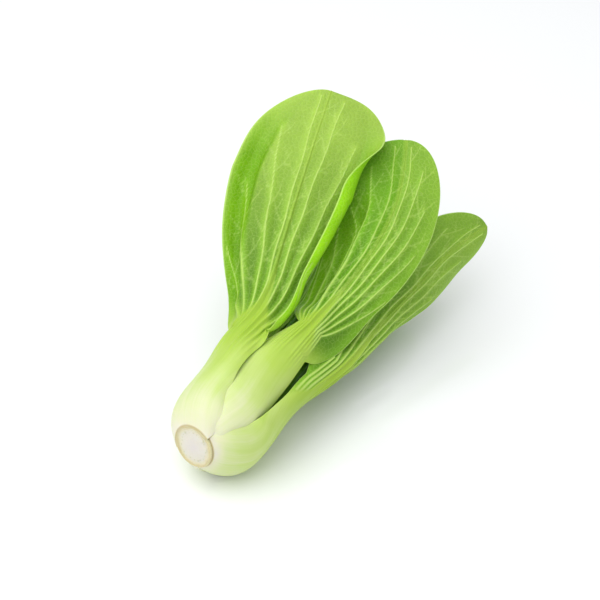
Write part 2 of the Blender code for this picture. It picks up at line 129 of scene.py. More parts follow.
# %% The measurements of the nine leaves
# Lengths are in metres. Where a word ends in left or right it holds for that half of the leaf, seen
# from its back with the tip up, and what a leaf doesn't say is taken from USUAL.
# turn: degrees round the stem, 0 on top, growing towards +X. layer: 0 is outermost.
# path: the spine after the foot. neck: length along the spine where the blade begins.
# facing: where the leaf's back looks in the blade. stalk: half widths at the cut, low on the foot,
# on the foot, half way up and at the neck. covered: what the stalk is wider by, at the same places,
# under a neighbour. blade: greatest half width, where it is, and how it rounds off below and above.
# early: how far below the neck the blade begins. radius: of the leaf's own part of the foot.
# crown, tuck: how far the swollen base stands out in the middle and sinks at its edges.
# settles: how far an edge of the stalk sinks onto the leaf below. unfolds: 1 where that edge
# bunches up as it leaves the foot and is smoothed. wrap: degrees that each half bends inwards half
# way up the stalk, at the neck, past it and at the tip. folds: share of the half width against the
# degrees that the blade has turned there. span: shares of the blade's length where the folds
# begin, are full, begin to fade and are gone. sheltered: shares of the half width where the painted
# shade of a fold begins, is full, begins to fade and is gone; on the inside it is a painted glow.
# deep: how strong the green is.
# greens: how far below the usual place it begins. tip_pales: the part of it that the tip loses.
# foot_greener: how much further up the stalk the colour at the very foot is taken from.
# laterals: side veins on each half. rows, half_columns: how fine the mesh is.
USUAL = dict(
    covered=(0.0, 0.0, 0.0, 0.0, 0.0), early=0.0, crown=0.0, tuck=0.0, settles=0.0, unfolds=0.0,
    wrap=(60, 50, 24, 16), folds=((0.0, 0), (1.0, 0)), span=(0.02, 0.30, 0.75, 1.10),
    sheltered=(1.1, 1.2, 1.3, 1.4), deep=0.80, greens=0.0, tip_pales=0.4, foot_greener=0.0,
    laterals=4, rows=150, half_columns=30,
)
LEAVES = (
    dict(
        name="leaf_outer_upper", layer=0, turn=-35, neck=0.068, radius=0.0256,
        path=((-0.0150, 0.0152, 0.0483), (-0.0160, 0.0312, 0.0513), (-0.0160, 0.0462, 0.0553),
              (-0.0210, 0.0682, 0.0683), (-0.0300, 0.0942, 0.0843), (-0.0380, 0.1202, 0.1023),
              (-0.0460, 0.1482, 0.1223)),
        facing=(0.40, -0.35, 0.85), crown=0.0001, tuck=0.0007, settles_right=0.0022,
        stalk_left=(0.0146, 0.0257, 0.0300, 0.0190, 0.0070),
        stalk_right=(0.0140, 0.0240, 0.0166, 0.0125, 0.0120),
        blade_left=(0.0392, 0.62, 1.6, 1.6), blade_right=(0.0360, 0.60, 1.4, 3.4),
        early_left=0.006, wrap_left=(62, 45, 14, 10), wrap_right=(22, 30, 14, 10),
        folds_left=((0.48, 0), (0.60, -78), (0.72, -20), (0.86, 35), (1.0, 10)),
        folds_right=((0.64, 0), (0.78, 122), (1.0, 178)),
        span_left=(-0.10, 0.12, 0.62, 0.95), span_right=(-0.12, 0.06, 0.60, 0.98),
        # The sheltered bands are painted light: shade in the left furrow, and a glow inside the rolled
        # right margin.
        sheltered_left=(0.50, 0.58, 0.90, 1.02), sheltered_right=(0.60, 0.74, 1.1, 1.2),
        tip_pales=1.0, rows=250, half_columns=72, seed=3,
    ),
    dict(
        name="leaf_outer_right", layer=0, turn=108, neck=0.092, radius=0.0242,
        path=((0.0240, 0.0132, 0.0253), (0.0220, 0.0332, 0.0283), (0.0220, 0.0522, 0.0283),
              (0.0230, 0.0712, 0.0293), (0.0230, 0.1002, 0.0353), (0.0240, 0.1302, 0.0403),
              (0.0250, 0.1622, 0.0453), (0.0290, 0.1882, 0.0463)),
        facing=(0.80, -0.45, 0.40), tuck=0.0002, settles_left=0.0010, unfolds=1.0,
        stalk_left=(0.0116, 0.0214, 0.0200, 0.0088, 0.0085),
        stalk_right=(0.0115, 0.0205, 0.0240, 0.0115, 0.0055),
        blade_left=(0.025, 0.50, 1.25, 1.8), blade_right=(0.014, 0.65, 1.3, 2.0),
        early_left=0.018, wrap=(60, 40, 14, 10), folds_right=((0.3, 0), (1.0, -20)),
        # The right half's paler green is painted sheen, where that half is seen edge-on. The greener
        # foot is partly its own colour and partly painted shade, as it lies low on the right.
        greens_left=0.034, deep_left=0.90, deep_right=0.70, foot_greener=0.16,
        rows=250, half_columns=60, seed=11,
    ),
    dict(
        name="leaf_outer_under", layer=0, turn=212, neck=0.085,
        path=((-0.0140, 0.0152, 0.0020), (-0.0140, 0.0372, 0.0030), (-0.0150, 0.0682, 0.0030),
              (-0.0180, 0.1072, 0.0035), (-0.0190, 0.1422, 0.0045), (-0.0200, 0.1722, 0.0080)),
        facing=(-0.1, 0.0, -0.99),
        stalk_left=(0.0062, 0.0112, 0.0140, 0.0130, 0.0100),
        stalk_right=(0.0055, 0.0108, 0.0152, 0.0150, 0.0100),
        blade_left=(0.018, 0.6, 1.6, 2.0), blade_right=(0.022, 0.6, 1.6, 2.0),
        wrap=(60, 50, 20, 16), rows=170, half_columns=40, seed=23,
    ),
    dict(
        name="leaf_second_middle", layer=1, turn=36, neck=0.082, radius=0.0226,
        path=((0.0100, 0.0202, 0.0443), (0.0080, 0.0402, 0.0483), (0.0080, 0.0602, 0.0513),
              (0.0080, 0.0782, 0.0553), (0.0110, 0.0942, 0.0653), (0.0110, 0.1162, 0.0773),
              (0.0050, 0.1382, 0.0883), (-0.0070, 0.1602, 0.1013)),
        facing=(0.35, -0.55, 0.75), crown=0.0007, tuck=0.0016,
        stalk_left=(0.0020, 0.0042, 0.0140, 0.0128, 0.0062),
        stalk_right=(0.0020, 0.0028, 0.0084, 0.0112, 0.0078),
        covered_right=(0.0034, 0.0024, 0.0, 0.0, 0.0),
        blade_left=(0.038, 0.60, 1.4, 2.0), blade_right=(0.0218, 0.60, 1.8, 2.2),
        early_right=0.014, wrap=(45, 45, 14, 10),
        folds_left=((0.18, 0), (0.35, -95), (0.55, -20), (1.0, 10)),
        folds_right=((0.3, 0), (1.0, -10)), span_left=(0.0, 0.15, 0.5, 0.8),
        # The left half, folded back behind its crease, is painted in shade: a stronger green and a wide
        # sheltered band.
        sheltered_left=(0.22, 0.40, 1.1, 1.2), greens_right=0.012, deep_left=1.5, deep_right=0.90,
        laterals=5, rows=250, half_columns=66, seed=31,
    ),
    dict(
        name="leaf_second_under", layer=1, turn=172, neck=0.085,
        path=((0.0020, 0.0222, 0.0078), (0.0020, 0.0472, 0.0098), (0.0020, 0.0772, 0.0128),
              (0.0000, 0.1072, 0.0168), (-0.0020, 0.1422, 0.0228), (-0.0030, 0.1682, 0.0298)),
        facing=(0.15, -0.15, -0.95),
        stalk_left=(0.0080, 0.0070, 0.0060, 0.0085, 0.0080),
        stalk_right=(0.0080, 0.0095, 0.0100, 0.0100, 0.0090),
        blade_left=(0.014, 0.6, 1.6, 2.0), blade_right=(0.020, 0.6, 1.6, 2.0),
        half_columns=34, seed=41,
    ),
    dict(
        name="leaf_second_left", layer=1, turn=280, neck=0.080,
        path=((-0.0170, 0.0222, 0.0303), (-0.0160, 0.0472, 0.0323), (-0.0190, 0.0772, 0.0373),
              (-0.0250, 0.1072, 0.0463), (-0.0330, 0.1372, 0.0593), (-0.0400, 0.1602, 0.0733)),
        facing=(-0.85, -0.15, 0.45),
        stalk_left=(0.0080, 0.0120, 0.0145, 0.0120, 0.0090),
        stalk_right=(0.0080, 0.0110, 0.0125, 0.0080, 0.0050),
        blade_left=(0.020, 0.6, 1.6, 2.0), blade_right=(0.012, 0.6, 1.6, 2.0),
        rows=170, half_columns=40, seed=53,
    ),
    dict(
        name="leaf_inner_right", layer=2, turn=95, neck=0.070,
        path=((0.0130, 0.0242, 0.0263), (0.0110, 0.0472, 0.0303), (0.0070, 0.0772, 0.0373),
              (0.0030, 0.1072, 0.0463), (-0.0020, 0.1322, 0.0573), (-0.0060, 0.1502, 0.0693)),
        facing=(0.8, -0.3, 0.4), stalk=(0.0065, 0.0090, 0.0110, 0.0090, 0.0060),
        blade_left=(0.008, 0.6, 1.6, 2.0), blade_right=(0.012, 0.6, 1.6, 2.0), seed=61,
    ),
    dict(
        name="leaf_inner_under", layer=2, turn=215, neck=0.070,
        path=((-0.0060, 0.0242, 0.0173), (-0.0060, 0.0472, 0.0213), (-0.0070, 0.0772, 0.0273),
              (-0.0090, 0.1072, 0.0343), (-0.0120, 0.1322, 0.0433), (-0.0140, 0.1502, 0.0533)),
        facing=(-0.4, 0.1, -0.8), stalk=(0.0065, 0.0090, 0.0110, 0.0090, 0.0060),
        blade_left=(0.015, 0.6, 1.6, 2.0), blade_right=(0.009, 0.6, 1.6, 2.0), seed=71,
    ),
    dict(
        name="leaf_inner_top", layer=2, turn=335, neck=0.070,
        path=((-0.0030, 0.0242, 0.0333), (-0.0035, 0.0472, 0.0378), (-0.0045, 0.0772, 0.0458),
              (-0.0080, 0.1072, 0.0573), (-0.0130, 0.1282, 0.0693), (-0.0170, 0.1442, 0.0803)),
        facing=(-0.2, -0.3, 0.9),
        stalk_left=(0.0065, 0.0090, 0.0110, 0.0070, 0.0060),
        stalk_right=(0.0065, 0.0085, 0.0100, 0.0050, 0.0050),
        blade_left=(0.0085, 0.6, 1.6, 2.0), blade_right=(0.0120, 0.6, 1.6, 2.0), seed=83,
    ),
)


def measure(leaf, what, side=""):
    """What the table says of a leaf, or of one half of it, or what is usual."""
    return leaf.get(what + "_" + side, leaf.get(what, USUAL.get(what)))


def on_halves(leaf, what, share):
    """The measures of both halves, laid out on a grid with share below 0 on the left half."""
    return np.where(share < 0, measure(leaf, what, "left"), measure(leaf, what, "right"))


print(len(LEAVES), "leaves in", 1 + max(leaf["layer"] for leaf in LEAVES), "layers")


# %% Helpers for smooth changes
NO_LENGTH = 1e-12


def unit(vectors):
    vectors = np.asarray(vectors, float)
    return vectors / np.maximum(np.linalg.norm(vectors, axis=-1, keepdims=True), NO_LENGTH)


def ease(x):
    """0 below 0 and 1 above 1, with a soft start and end between."""
    x = np.clip(x, 0.0, 1.0)
    return x * x * (3.0 - 2.0 * x)


def hump(x, stations):
    """0 up to the first station, 1 from the second to the third, and 0 from the fourth on."""
    a, b, c, d = stations
    return ease((x - a) / (b - a)) * (1 - ease((x - c) / (d - c)))


def between(ends, x):
    """From the first of two values at x = 0 to the second at x = 1."""
    return ends[0] + (ends[1] - ends[0]) * x


def eased_steps(x, stations, values):
    """Values that change smoothly from each station to the next, level at the stations."""
    x = np.asarray(x, float)
    out = np.full(x.shape, float(values[0]))
    for a, b, before, after in zip(stations, stations[1:], values, values[1:]):
        out = np.where(x > a, before + (after - before) * ease((x - a) / (b - a)), out)
    return out


def smooth_steps(x, stations, values):
    """Values that sweep through the stations without a flat spot or an overshoot."""
    stations, values = np.asarray(stations, float), np.asarray(values, float)
    gaps = np.diff(stations)
    rises = np.diff(values) / gaps
    slopes = np.concatenate([rises[:1], np.zeros(len(gaps) - 1), rises[-1:]])
    for i in range(1, len(gaps)):
        if rises[i - 1] * rises[i] > 0:
            before, after = gaps[i - 1] + 2 * gaps[i], 2 * gaps[i - 1] + gaps[i]
            slopes[i] = (before + after) / (before / rises[i - 1] + after / rises[i])
    k = np.clip(np.searchsorted(stations, x, "right") - 1, 0, len(gaps) - 1)
    t = (np.clip(x, stations[0], stations[-1]) - stations[k]) / gaps[k]
    start = values[k] * (1 + 2 * t) + slopes[k] * gaps[k] * t
    end = values[k + 1] * (3 - 2 * t) - slopes[k + 1] * gaps[k] * (1 - t)
    return start * (1 - t) ** 2 + end * t**2


print("half way up an eased step:", float(ease(0.5)))


# %% [markdown]
# ## The spine
#
# A leaf leaves the cut stem, hugs the round foot and rises as a stalk. Its spine is a natural cubic
# spline through a few points on the foot and then through the points in the table. A Bezier curve
# object could hold it too, but here the spline's length is needed at every row of the mesh, and a
# few lines of linear algebra give both.

# %% Spine of a leaf
LAYER_RADII = (FOOT_RADIUS, 0.0187, 0.0130)
LAYER_STARTS = (0.0108, 0.0102, 0.0092)
FOOT_LATITUDES = (38, 58, 78)
LATITUDE_GAP = radians(8)
SPINE_STEPS = 600


def radial(turn):
    """The direction away from the stem's axis at this angle round it."""
    return SIDEWAYS * sin(turn) + UPWARD * cos(turn)


def smooth_path(points, count=SPINE_STEPS):
    """A natural cubic spline through the points, and the length along it at each place."""
    points = np.asarray(points, float)
    gaps = np.linalg.norm(np.diff(points, axis=0), axis=1)
    knots = np.concatenate([[0.0], np.cumsum(gaps)])
    last = len(points) - 1
    system = np.zeros((last + 1, last + 1))
    known = np.zeros((last + 1, 3))
    system[0, 0] = system[last, last] = 1.0
    for i in range(1, last):
        system[i, i - 1 : i + 2] = gaps[i - 1], 2.0 * (gaps[i - 1] + gaps[i]), gaps[i]
        rise_after = (points[i + 1] - points[i]) / gaps[i]
        rise_before = (points[i] - points[i - 1]) / gaps[i - 1]
        known[i] = 6.0 * (rise_after - rise_before)
    bend = np.linalg.solve(system, known)
    x = np.linspace(0.0, knots[-1], count)
    k = np.clip(np.searchsorted(knots, x, "right") - 1, 0, last - 1)
    after = (x - knots[k])[:, None]
    gap = gaps[k][:, None]
    before = gap - after
    places = (bend[k] * before**3 + bend[k + 1] * after**3) / (6.0 * gap)
    places += (points[k] / gap - bend[k] * gap / 6.0) * before
    places += (points[k + 1] / gap - bend[k + 1] * gap / 6.0) * after
    steps = np.linalg.norm(np.diff(places, axis=0), axis=1)
    return places, np.concatenate([[0.0], np.cumsum(steps)])


def foot_points(turn, radius, start):
    """Points on the round foot, from the cut stem outwards."""
    angles = [asin(start / radius)]
    angles += [radians(d) for d in FOOT_LATITUDES if radians(d) > angles[0] + LATITUDE_GAP]
    return [FOOT_CENTRE + radius * (radial(turn) * sin(a) - ALONG * cos(a)) for a in angles]


def spine(leaf):
    """Spine of a leaf: places and lengths along it, and the length of its part on the foot."""
    layer = leaf["layer"]
    radius, start = leaf.get("radius", LAYER_RADII[layer]), LAYER_STARTS[layer]
    turn = radians(leaf["turn"])
    places, length = smooth_path(foot_points(turn, radius, start) + list(leaf["path"]))
    return places, length, radius * (pi / 2 - asin(start / radius))


for leaf in LEAVES[:4]:
    print(leaf["name"], "is", round(1000 * spine(leaf)[1][-1]), "mm long")

# %% [markdown]
# ## The section across the leaf
#
# At the foot the section is an arc of the foot's round, because the stalk's base wraps the stem.
# Higher up each half has its own slight bend towards the inside. The blade's halves also fold: the
# top leaf has a furrow on its left and its right margin rolls over, which is what the photo shows.
# The bend is given as a heading for each share of the half width, and adding up short steps with
# that heading gives a section that keeps its width however far it rolls.

# %% Frames along the spine and the bent section
EDGE_LIP = 0.0010
LOW_FOOT = 0.4
TURN_PAST_NECK = 0.030
LEAVING_FOOT = 0.8
LEAVING_STRETCH = 0.025
RIB_WIDTH = 0.0010
RIB_END_WIDTH = 0.0005
RIB_NARROWS_BY = 0.26
WRAP_SETTLES_BY = 0.4
OPENING_START = 0.9
OPENING_RATE = 1.3
ACROSS_STEPS = 161
CLOSEST_TO_AXIS = 1e-4


def blade_outline(x, widest, below, above):
    """Share of the greatest half width at x, from 0 at the neck to 1 at the tip."""
    low = 1.0 - np.clip((widest - x) / widest, 0, 1) ** below
    high = 1.0 - np.clip((x - widest) / (1.0 - widest), 0, 1) ** above
    return np.where(x < widest, low ** (1.0 / below), high ** (1.0 / above))


def frames(leaf, along):
    """Place, outward normal and sideways direction of the leaf's section at each row."""
    places, length, foot = spine(leaf)
    neck = leaf["neck"]
    tangents = np.gradient(places, length, axis=0)
    place = np.stack([np.interp(along, length, places[:, i]) for i in range(3)], -1)
    tangent = unit(np.stack([np.interp(along, length, tangents[:, i]) for i in range(3)], -1))
    to_blade = ease((along - foot) / (neck + TURN_PAST_NECK - foot))[:, None]
    outward = radial(radians(leaf["turn"])) * (1 - to_blade) + unit(leaf["facing"]) * to_blade
    leaves_foot = ease((along - LEAVING_FOOT * foot) / LEAVING_STRETCH)[:, None]
    forward = unit(ALONG * (1 - leaves_foot) + tangent * leaves_foot)
    normal = unit(outward - (outward * forward).sum(-1, keepdims=True) * forward)
    return place, normal, np.cross(forward, normal)


def half_widths(leaf, along, side):
    """Half widths of stalk and blade on one side of the spine."""
    _, length, foot = spine(leaf)
    neck, total = leaf["neck"], length[-1]
    rib_end = neck + RIB_NARROWS_BY * (total - neck)
    stations = (0, LOW_FOOT * foot, foot, (foot + neck) / 2, neck, rib_end, total)
    seen, covered = measure(leaf, "stalk", side), measure(leaf, "covered", side)
    widths = [*(a + b for a, b in zip(seen, covered)), RIB_WIDTH, RIB_END_WIDTH]
    stalk = smooth_steps(along, stations, widths)
    greatest, widest, below, above = measure(leaf, "blade", side)
    early = measure(leaf, "early", side)
    from_start = np.clip((along - neck + early) / (total - neck + early), 0, 1)
    return stalk, EDGE_LIP + greatest * blade_outline(from_start, widest, below, above)


def bent_section(leaf, along, side, half, place):
    """How far sideways and outwards the section has come at each step across one half, and how
    sheltered from the lamp the blade is there."""
    _, length, foot = spine(leaf)
    neck, total = leaf["neck"], length[-1]
    from_axis = place - FOOT_CENTRE
    from_axis = np.linalg.norm(from_axis - (from_axis @ ALONG)[:, None] * ALONG, axis=1)
    stations = ((foot + neck) / 2, neck, neck + WRAP_SETTLES_BY * (total - neck), total)
    wrap = np.radians(eased_steps(along, stations, measure(leaf, "wrap", side)))
    opening = OPENING_START * foot
    on_foot = 1 - ease(OPENING_RATE * (along - opening) / (neck - opening))
    wrap = wrap * (1 - on_foot) + on_foot * half / np.maximum(from_axis, CLOSEST_TO_AXIS)
    across = np.linspace(0, 1, ACROSS_STEPS)
    shares, angles = zip(*measure(leaf, "folds", side))
    amount = hump((along - neck) / (total - neck), measure(leaf, "span", side))
    fold = np.radians(eased_steps(across, shares, angles))
    heading = -wrap[:, None] * across + fold * amount[:, None]
    gone = []
    for component in (np.cos(heading), np.sin(heading)):
        middle = (component[:, 1:] + component[:, :-1]) / 2
        run = np.cumsum(middle, axis=1) / (ACROSS_STEPS - 1)
        gone.append(np.concatenate([np.zeros((len(along), 1)), run], axis=1))
    return *gone, hump(across, measure(leaf, "sheltered", side)) * amount[:, None]


print("a section has", 2 * ACROSS_STEPS - 1, "steps from margin to margin")

# %% [markdown]
# ## One leaf as a closed sheet
#
# The grid of points is the leaf's back. Each point also gets its place on the flattened leaf, in
# metres: how far across from the spine and how far along it. Veins and colours are laid out on that
# flat leaf later, so they follow the surface through every bend. The second skin lies under the
# first, thick in the stalk and under half a millimetre off in the blade, and a round rim joins the two.

# %% Grid of the leaf's back
SWELLS_BY = 0.008
SWELLING_ENDS = 0.024
SWELLING_POWER = 4
SNUG_EDGE = 0.0009
SNUG_MIDDLE = 0.0006
SETTLES_PAST_NECK = 0.010
UNFOLDS_FROM = 0.70
UNFOLDS_TO = 1.60
UNFOLDS_OVER = 0.008
UNFOLDING_PASSES = 60
MIDDLE_CROWDING = 1.25
CROWDS_PAST_NECK = 0.02
STALK_ROW_SHARE = 0.36
TIP_ROW_POWER = 1.15


def back_normals(grid, normal):
    """Normals of a grid of points, on the side of the leaf's back."""
    normals = unit(np.cross(np.gradient(grid, axis=0), np.gradient(grid, axis=1)))
    if (normals[:, grid.shape[1] // 2] * normal).sum() < 0:
        normals = -normals
    return normals


def row_lengths(leaf):
    """Where the rows lie along the spine: the blade gets the larger share, crowded at its tip."""
    total, neck = spine(leaf)[1][-1], leaf["neck"]
    rows = measure(leaf, "rows")
    below = int(rows * STALK_ROW_SHARE)
    up_blade = np.sin(pi / 2 * np.linspace(0, 1, rows - below + 1)) ** TIP_ROW_POWER
    return np.concatenate([np.linspace(0, neck, below), neck + (total - neck) * up_blade[1:]])


def leaf_grid(leaf):
    """Points of the leaf's back, their normals, and the measures that the rest is laid out by."""
    _, length, foot = spine(leaf)
    along = row_lengths(leaf)
    place, normal, sideways = frames(leaf, along)
    half_columns = measure(leaf, "half_columns")
    steps = np.linspace(0, 1, half_columns + 1)
    rows, columns = len(along), 2 * half_columns + 1
    grid = np.zeros((rows, columns, 3))
    share, reach, past_stalk, sheltered = (np.zeros((rows, columns)) for _ in range(4))
    for sign, side in ((-1, "left"), (1, "right")):
        stalk, blade = half_widths(leaf, along, side)
        half = stalk + blade
        sidewards, outwards, band = bent_section(leaf, along, side, half, place)
        crowding = 1 + (MIDDLE_CROWDING - 1) * ease((along - leaf["neck"]) / CROWDS_PAST_NECK)
        shares = steps[None, :] ** crowding[:, None]
        at = shares * (ACROSS_STEPS - 1)
        low = np.minimum(at.astype(int), ACROSS_STEPS - 2)
        part = at - low
        row = np.arange(rows)[:, None]
        step_side = sidewards[row, low] * (1 - part) + sidewards[row, low + 1] * part
        step_out = outwards[row, low] * (1 - part) + outwards[row, low + 1] * part
        points = place[:, None] + sign * (half[:, None] * step_side)[..., None] * sideways[:, None]
        points += (half[:, None] * step_out)[..., None] * normal[:, None]
        take = slice(half_columns, None, sign)
        grid[:, take] = points
        share[:, take] = sign * shares
        reach[:, take] = sign * shares * half[:, None]
        past_stalk[:, take] = shares * half[:, None] - stalk[:, None]
        sheltered[:, take] = band[row, low]
    bending = ease((along - UNFOLDS_FROM * foot) / UNFOLDS_OVER)
    bending = bending * (1 - ease((along - UNFOLDS_TO * foot) / UNFOLDS_OVER))
    unfolds = measure(leaf, "unfolds") * bending[1:-1, None, None] * share[1:-1, :, None] ** 2
    for _ in range(UNFOLDING_PASSES):
        grid[1:-1] += unfolds * (grid[:-2] + grid[2:] - 2 * grid[1:-1]) / 4
    swelling = ease(along / SWELLS_BY) * (1 - ease((along - foot) / SWELLING_ENDS))
    sunk = np.abs(share) ** SWELLING_POWER
    crown, tuck = measure(leaf, "crown"), measure(leaf, "tuck")
    if leaf["layer"] == 0:
        tuck = tuck + SNUG_EDGE
    else:
        crown, tuck = crown + SNUG_MIDDLE, tuck - SNUG_MIDDLE
    lift = swelling[:, None] * (crown * (1 - sunk) - tuck * sunk)
    beside = ease(along / SWELLS_BY) * (1 - ease((along - leaf["neck"]) / SETTLES_PAST_NECK))
    lift = lift - beside[:, None] * on_halves(leaf, "settles", share) * sunk
    grid += back_normals(grid, normal) * lift[..., None]
    return along, grid, back_normals(grid, normal), share, reach, past_stalk, sheltered


along, grid, normals, share, reach, past_stalk, sheltered = leaf_grid(LEAVES[0])
print(LEAVES[0]["name"], "has", grid.shape[0], "rows of", grid.shape[1], "points")

# %% Flesh between the two skins
BLADE_THICKNESS = 0.00045
LAYER_FLESH = (0.0047, 0.0045, 0.0040)
BASE_FLESH = 0.0012
TIP_FLESH = 0.0003
FLESH_SHARES = (0.6, 1.0, 0.70, 0.22)
FLESH_LOW_FOOT = 0.35
FLESH_UP_BLADE = 0.30
FLESH_ROUNDING = (2.2, 1.1)
RIB_SHARE_OUTSIDE = 0.7
RIB_RISES_BY = 0.020
NARROWEST_STALK = 1e-5


def flesh_depth(leaf, along, share, reach, past_stalk):
    """Thickness of the stalk's flesh at each point, and how much of it stands out on the back."""
    _, length, foot = spine(leaf)
    neck, total = leaf["neck"], length[-1]
    full = LAYER_FLESH[leaf["layer"]]
    up_blade = neck + FLESH_UP_BLADE * (total - neck)
    stations = (0, FLESH_LOW_FOOT * foot, foot, neck, up_blade, total)
    depths = (BASE_FLESH, *(part * full for part in FLESH_SHARES), TIP_FLESH)
    flesh = eased_steps(along, stations, depths)[:, None]
    stalk = np.maximum(np.abs(reach) - past_stalk, NARROWEST_STALK)
    across = np.clip(np.abs(reach) / stalk, 0, 1)
    power, root = FLESH_ROUNDING
    flesh = flesh * np.clip(1 - across**power, 0, 1) ** root
    risen = ease((along - foot) / (neck + RIB_RISES_BY - foot))[:, None]
    return flesh, RIB_SHARE_OUTSIDE * risen * np.ones_like(share)


flesh, outside = flesh_depth(LEAVES[0], along, share, reach, past_stalk)
print("its stalk is up to", round(1000 * float(flesh.max()), 1), "mm thick")

# %% Closed mesh with what the node tree and the materials need stored on its points
TABLE_LEVEL = 0.0
RIM_BULGE = 0.4
RIM_INSIDE = 0.5
SPACING_RANGE = (0.0012, 0.0070)
BEYOND_LAST_VEIN = 0.5
RIBBED_BELOW = 0.030
BLADE_GREENS_FROM = 0.008
BLADE_GREENS_OVER = 0.022
PALE_RIB_LOSES = 0.78
PALE_EDGE = 0.0065
RIB_GREENS_UP_TO = 0.70
RIB_GREENS_BY = 0.35
PLEATS_WITHIN = 0.60
PLEATS_LOSE = 0.70
PLEATS_FADE_BY = 0.85
FOOT_GREENS_BY = 0.08


def store(mesh, name, values, kind="FLOAT"):
    """Stores one value for each point of the mesh under this name."""
    attribute = mesh.attributes.new(name, kind, "POINT")
    key = "value" if kind == "FLOAT" else "vector"
    attribute.data.foreach_set(key, np.ascontiguousarray(values, np.float32).ravel())


def closed_leaf(leaf):
    """Outer skin, inner skin and a ring of points between their edges."""
    along, grid, normals, share, reach, past_stalk, sheltered = leaf_grid(leaf)
    flesh, outside = flesh_depth(leaf, along, share, reach, past_stalk)
    outer = grid + normals * (flesh * outside)[..., None]
    inner = grid - normals * (flesh * (1 - outside) + BLADE_THICKNESS)[..., None]
    outer[..., 2] = np.maximum(outer[..., 2], TABLE_LEVEL)
    inner[..., 2] = np.maximum(inner[..., 2], TABLE_LEVEL + BLADE_THICKNESS)
    rows, columns = share.shape
    index = np.arange(rows * columns).reshape(rows, columns)
    ring = np.array([*index[0, :], *index[1:, -1], *index[-1, -2::-1], *index[-2:0:-1, 0]])
    flat_outer, flat_inner = outer.reshape(-1, 3), inner.reshape(-1, 3)
    middle = (flat_outer[ring] + flat_inner[ring]) / 2
    inward = np.concatenate([grid[1, :], grid[1:, -2], grid[-2, -2::-1], grid[-2:0:-1, 1]])
    outwards = unit(middle - inward)
    bulge = RIM_BULGE * np.linalg.norm(flat_outer[ring] - flat_inner[ring], axis=1, keepdims=True)
    points = np.concatenate([flat_outer, flat_inner, middle + outwards * bulge])
    a, b = index[:-1, :-1].ravel(), index[:-1, 1:].ravel()
    c, d = index[1:, 1:].ravel(), index[1:, :-1].ravel()
    back = rows * columns
    k = np.arange(len(ring))
    after = np.roll(k, -1)
    rim, rim_after = 2 * back + k, 2 * back + after
    faces = [np.stack([a, b, c, d], 1), np.stack([d, c, b, a], 1) + back]
    faces.append(np.stack([ring[k], rim, rim_after, ring[after]], 1))
    faces.append(np.stack([rim, ring[k] + back, ring[after] + back, rim_after], 1))
    faces = np.concatenate(faces)
    made = bpy.data.meshes.new(leaf["name"] + "_looks")
    made.from_pydata(points.tolist(), [], faces.tolist())
    flat = np.stack([reach, np.repeat(along[:, None], columns, 1), np.zeros_like(reach)], -1)

    def on_all(values):
        values = values.reshape(back, -1)
        return np.concatenate([values, values, values[ring]])

    neck, total = leaf["neck"], spine(leaf)[1][-1]
    up = np.clip(along / neck, 0, 1)[:, None] + np.zeros_like(share)
    greener = measure(leaf, "foot_greener") * ease(up / FOOT_GREENS_BY)
    past_start = along[:, None] - neck + on_halves(leaf, "greens", share) + BLADE_GREENS_FROM
    narrowed = 1 - PALE_RIB_LOSES * ease(past_start / BLADE_GREENS_OVER)
    pale = (np.abs(reach) - past_stalk) * narrowed
    blade = ease((np.abs(reach) - pale) / (PALE_EDGE * narrowed)) * ease(past_start / BLADE_GREENS_OVER)
    gaps = measure(leaf, "laterals") + BEYOND_LAST_VEIN
    spacing = np.clip(np.abs(reach[:, [0, -1]]).mean(1) / gaps, *SPACING_RANGE)
    up_blade = (along[:, None] - neck) / (total - neck)
    ribbed = ease((along[:, None] - neck + RIBBED_BELOW) / RIBBED_BELOW)
    pleated = ribbed * (1 - PLEATS_LOSE * ease(up_blade / PLEATS_FADE_BY))
    pleated = pleated * (1 - ease((np.abs(share) - PLEATS_WITHIN) / (1 - PLEATS_WITHIN)))
    blade = np.maximum(blade, RIB_GREENS_UP_TO * ease(up_blade / RIB_GREENS_BY))
    store(made, "flat", on_all(flat), "FLOAT_VECTOR")
    store(made, "out", on_all(normals), "FLOAT_VECTOR")
    store(made, "up", on_all(np.minimum(up + greener, 1)))
    store(made, "blade", on_all(blade))
    store(made, "margin", on_all(np.abs(share)))
    store(made, "spacing", on_all(np.repeat(spacing[:, None], columns, 1)))
    store(made, "ribbed", on_all(ribbed + np.zeros_like(share)))
    store(made, "pleated", on_all(pleated))
    # The sheltered band is stored for the painted shade of a fold and the painted glow inside it.
    store(made, "fold_shade_and_glow", on_all(sheltered))
    depth = on_halves(leaf, "deep", share) * (1 - measure(leaf, "tip_pales") * ease(up_blade))
    store(made, "depth", on_all(depth))
    skins = np.concatenate([np.zeros(back), np.ones(back), np.full(len(ring), RIM_INSIDE)])
    store(made, "inside", skins)
    made.shade_smooth()
    return made


leaf_meshes = {leaf["name"]: closed_leaf(leaf) for leaf in LEAVES}
for name, mesh in leaf_meshes.items():
    print(name, len(mesh.polygons), "faces")

# %% [markdown]
# ## Veins
#
# The back of a blade shows strong side veins that leave the top of the stalk side by side, fan out
# and carry branches, and a fine net between them. Here they grow by a rule on the flattened leaf:
# each side vein starts beside the rib, ends at its own place near the margin, and sends branches to
# both sides. They could be painted as a texture, but real veins stand out, so they become lines
# that the next step presses into the mesh.

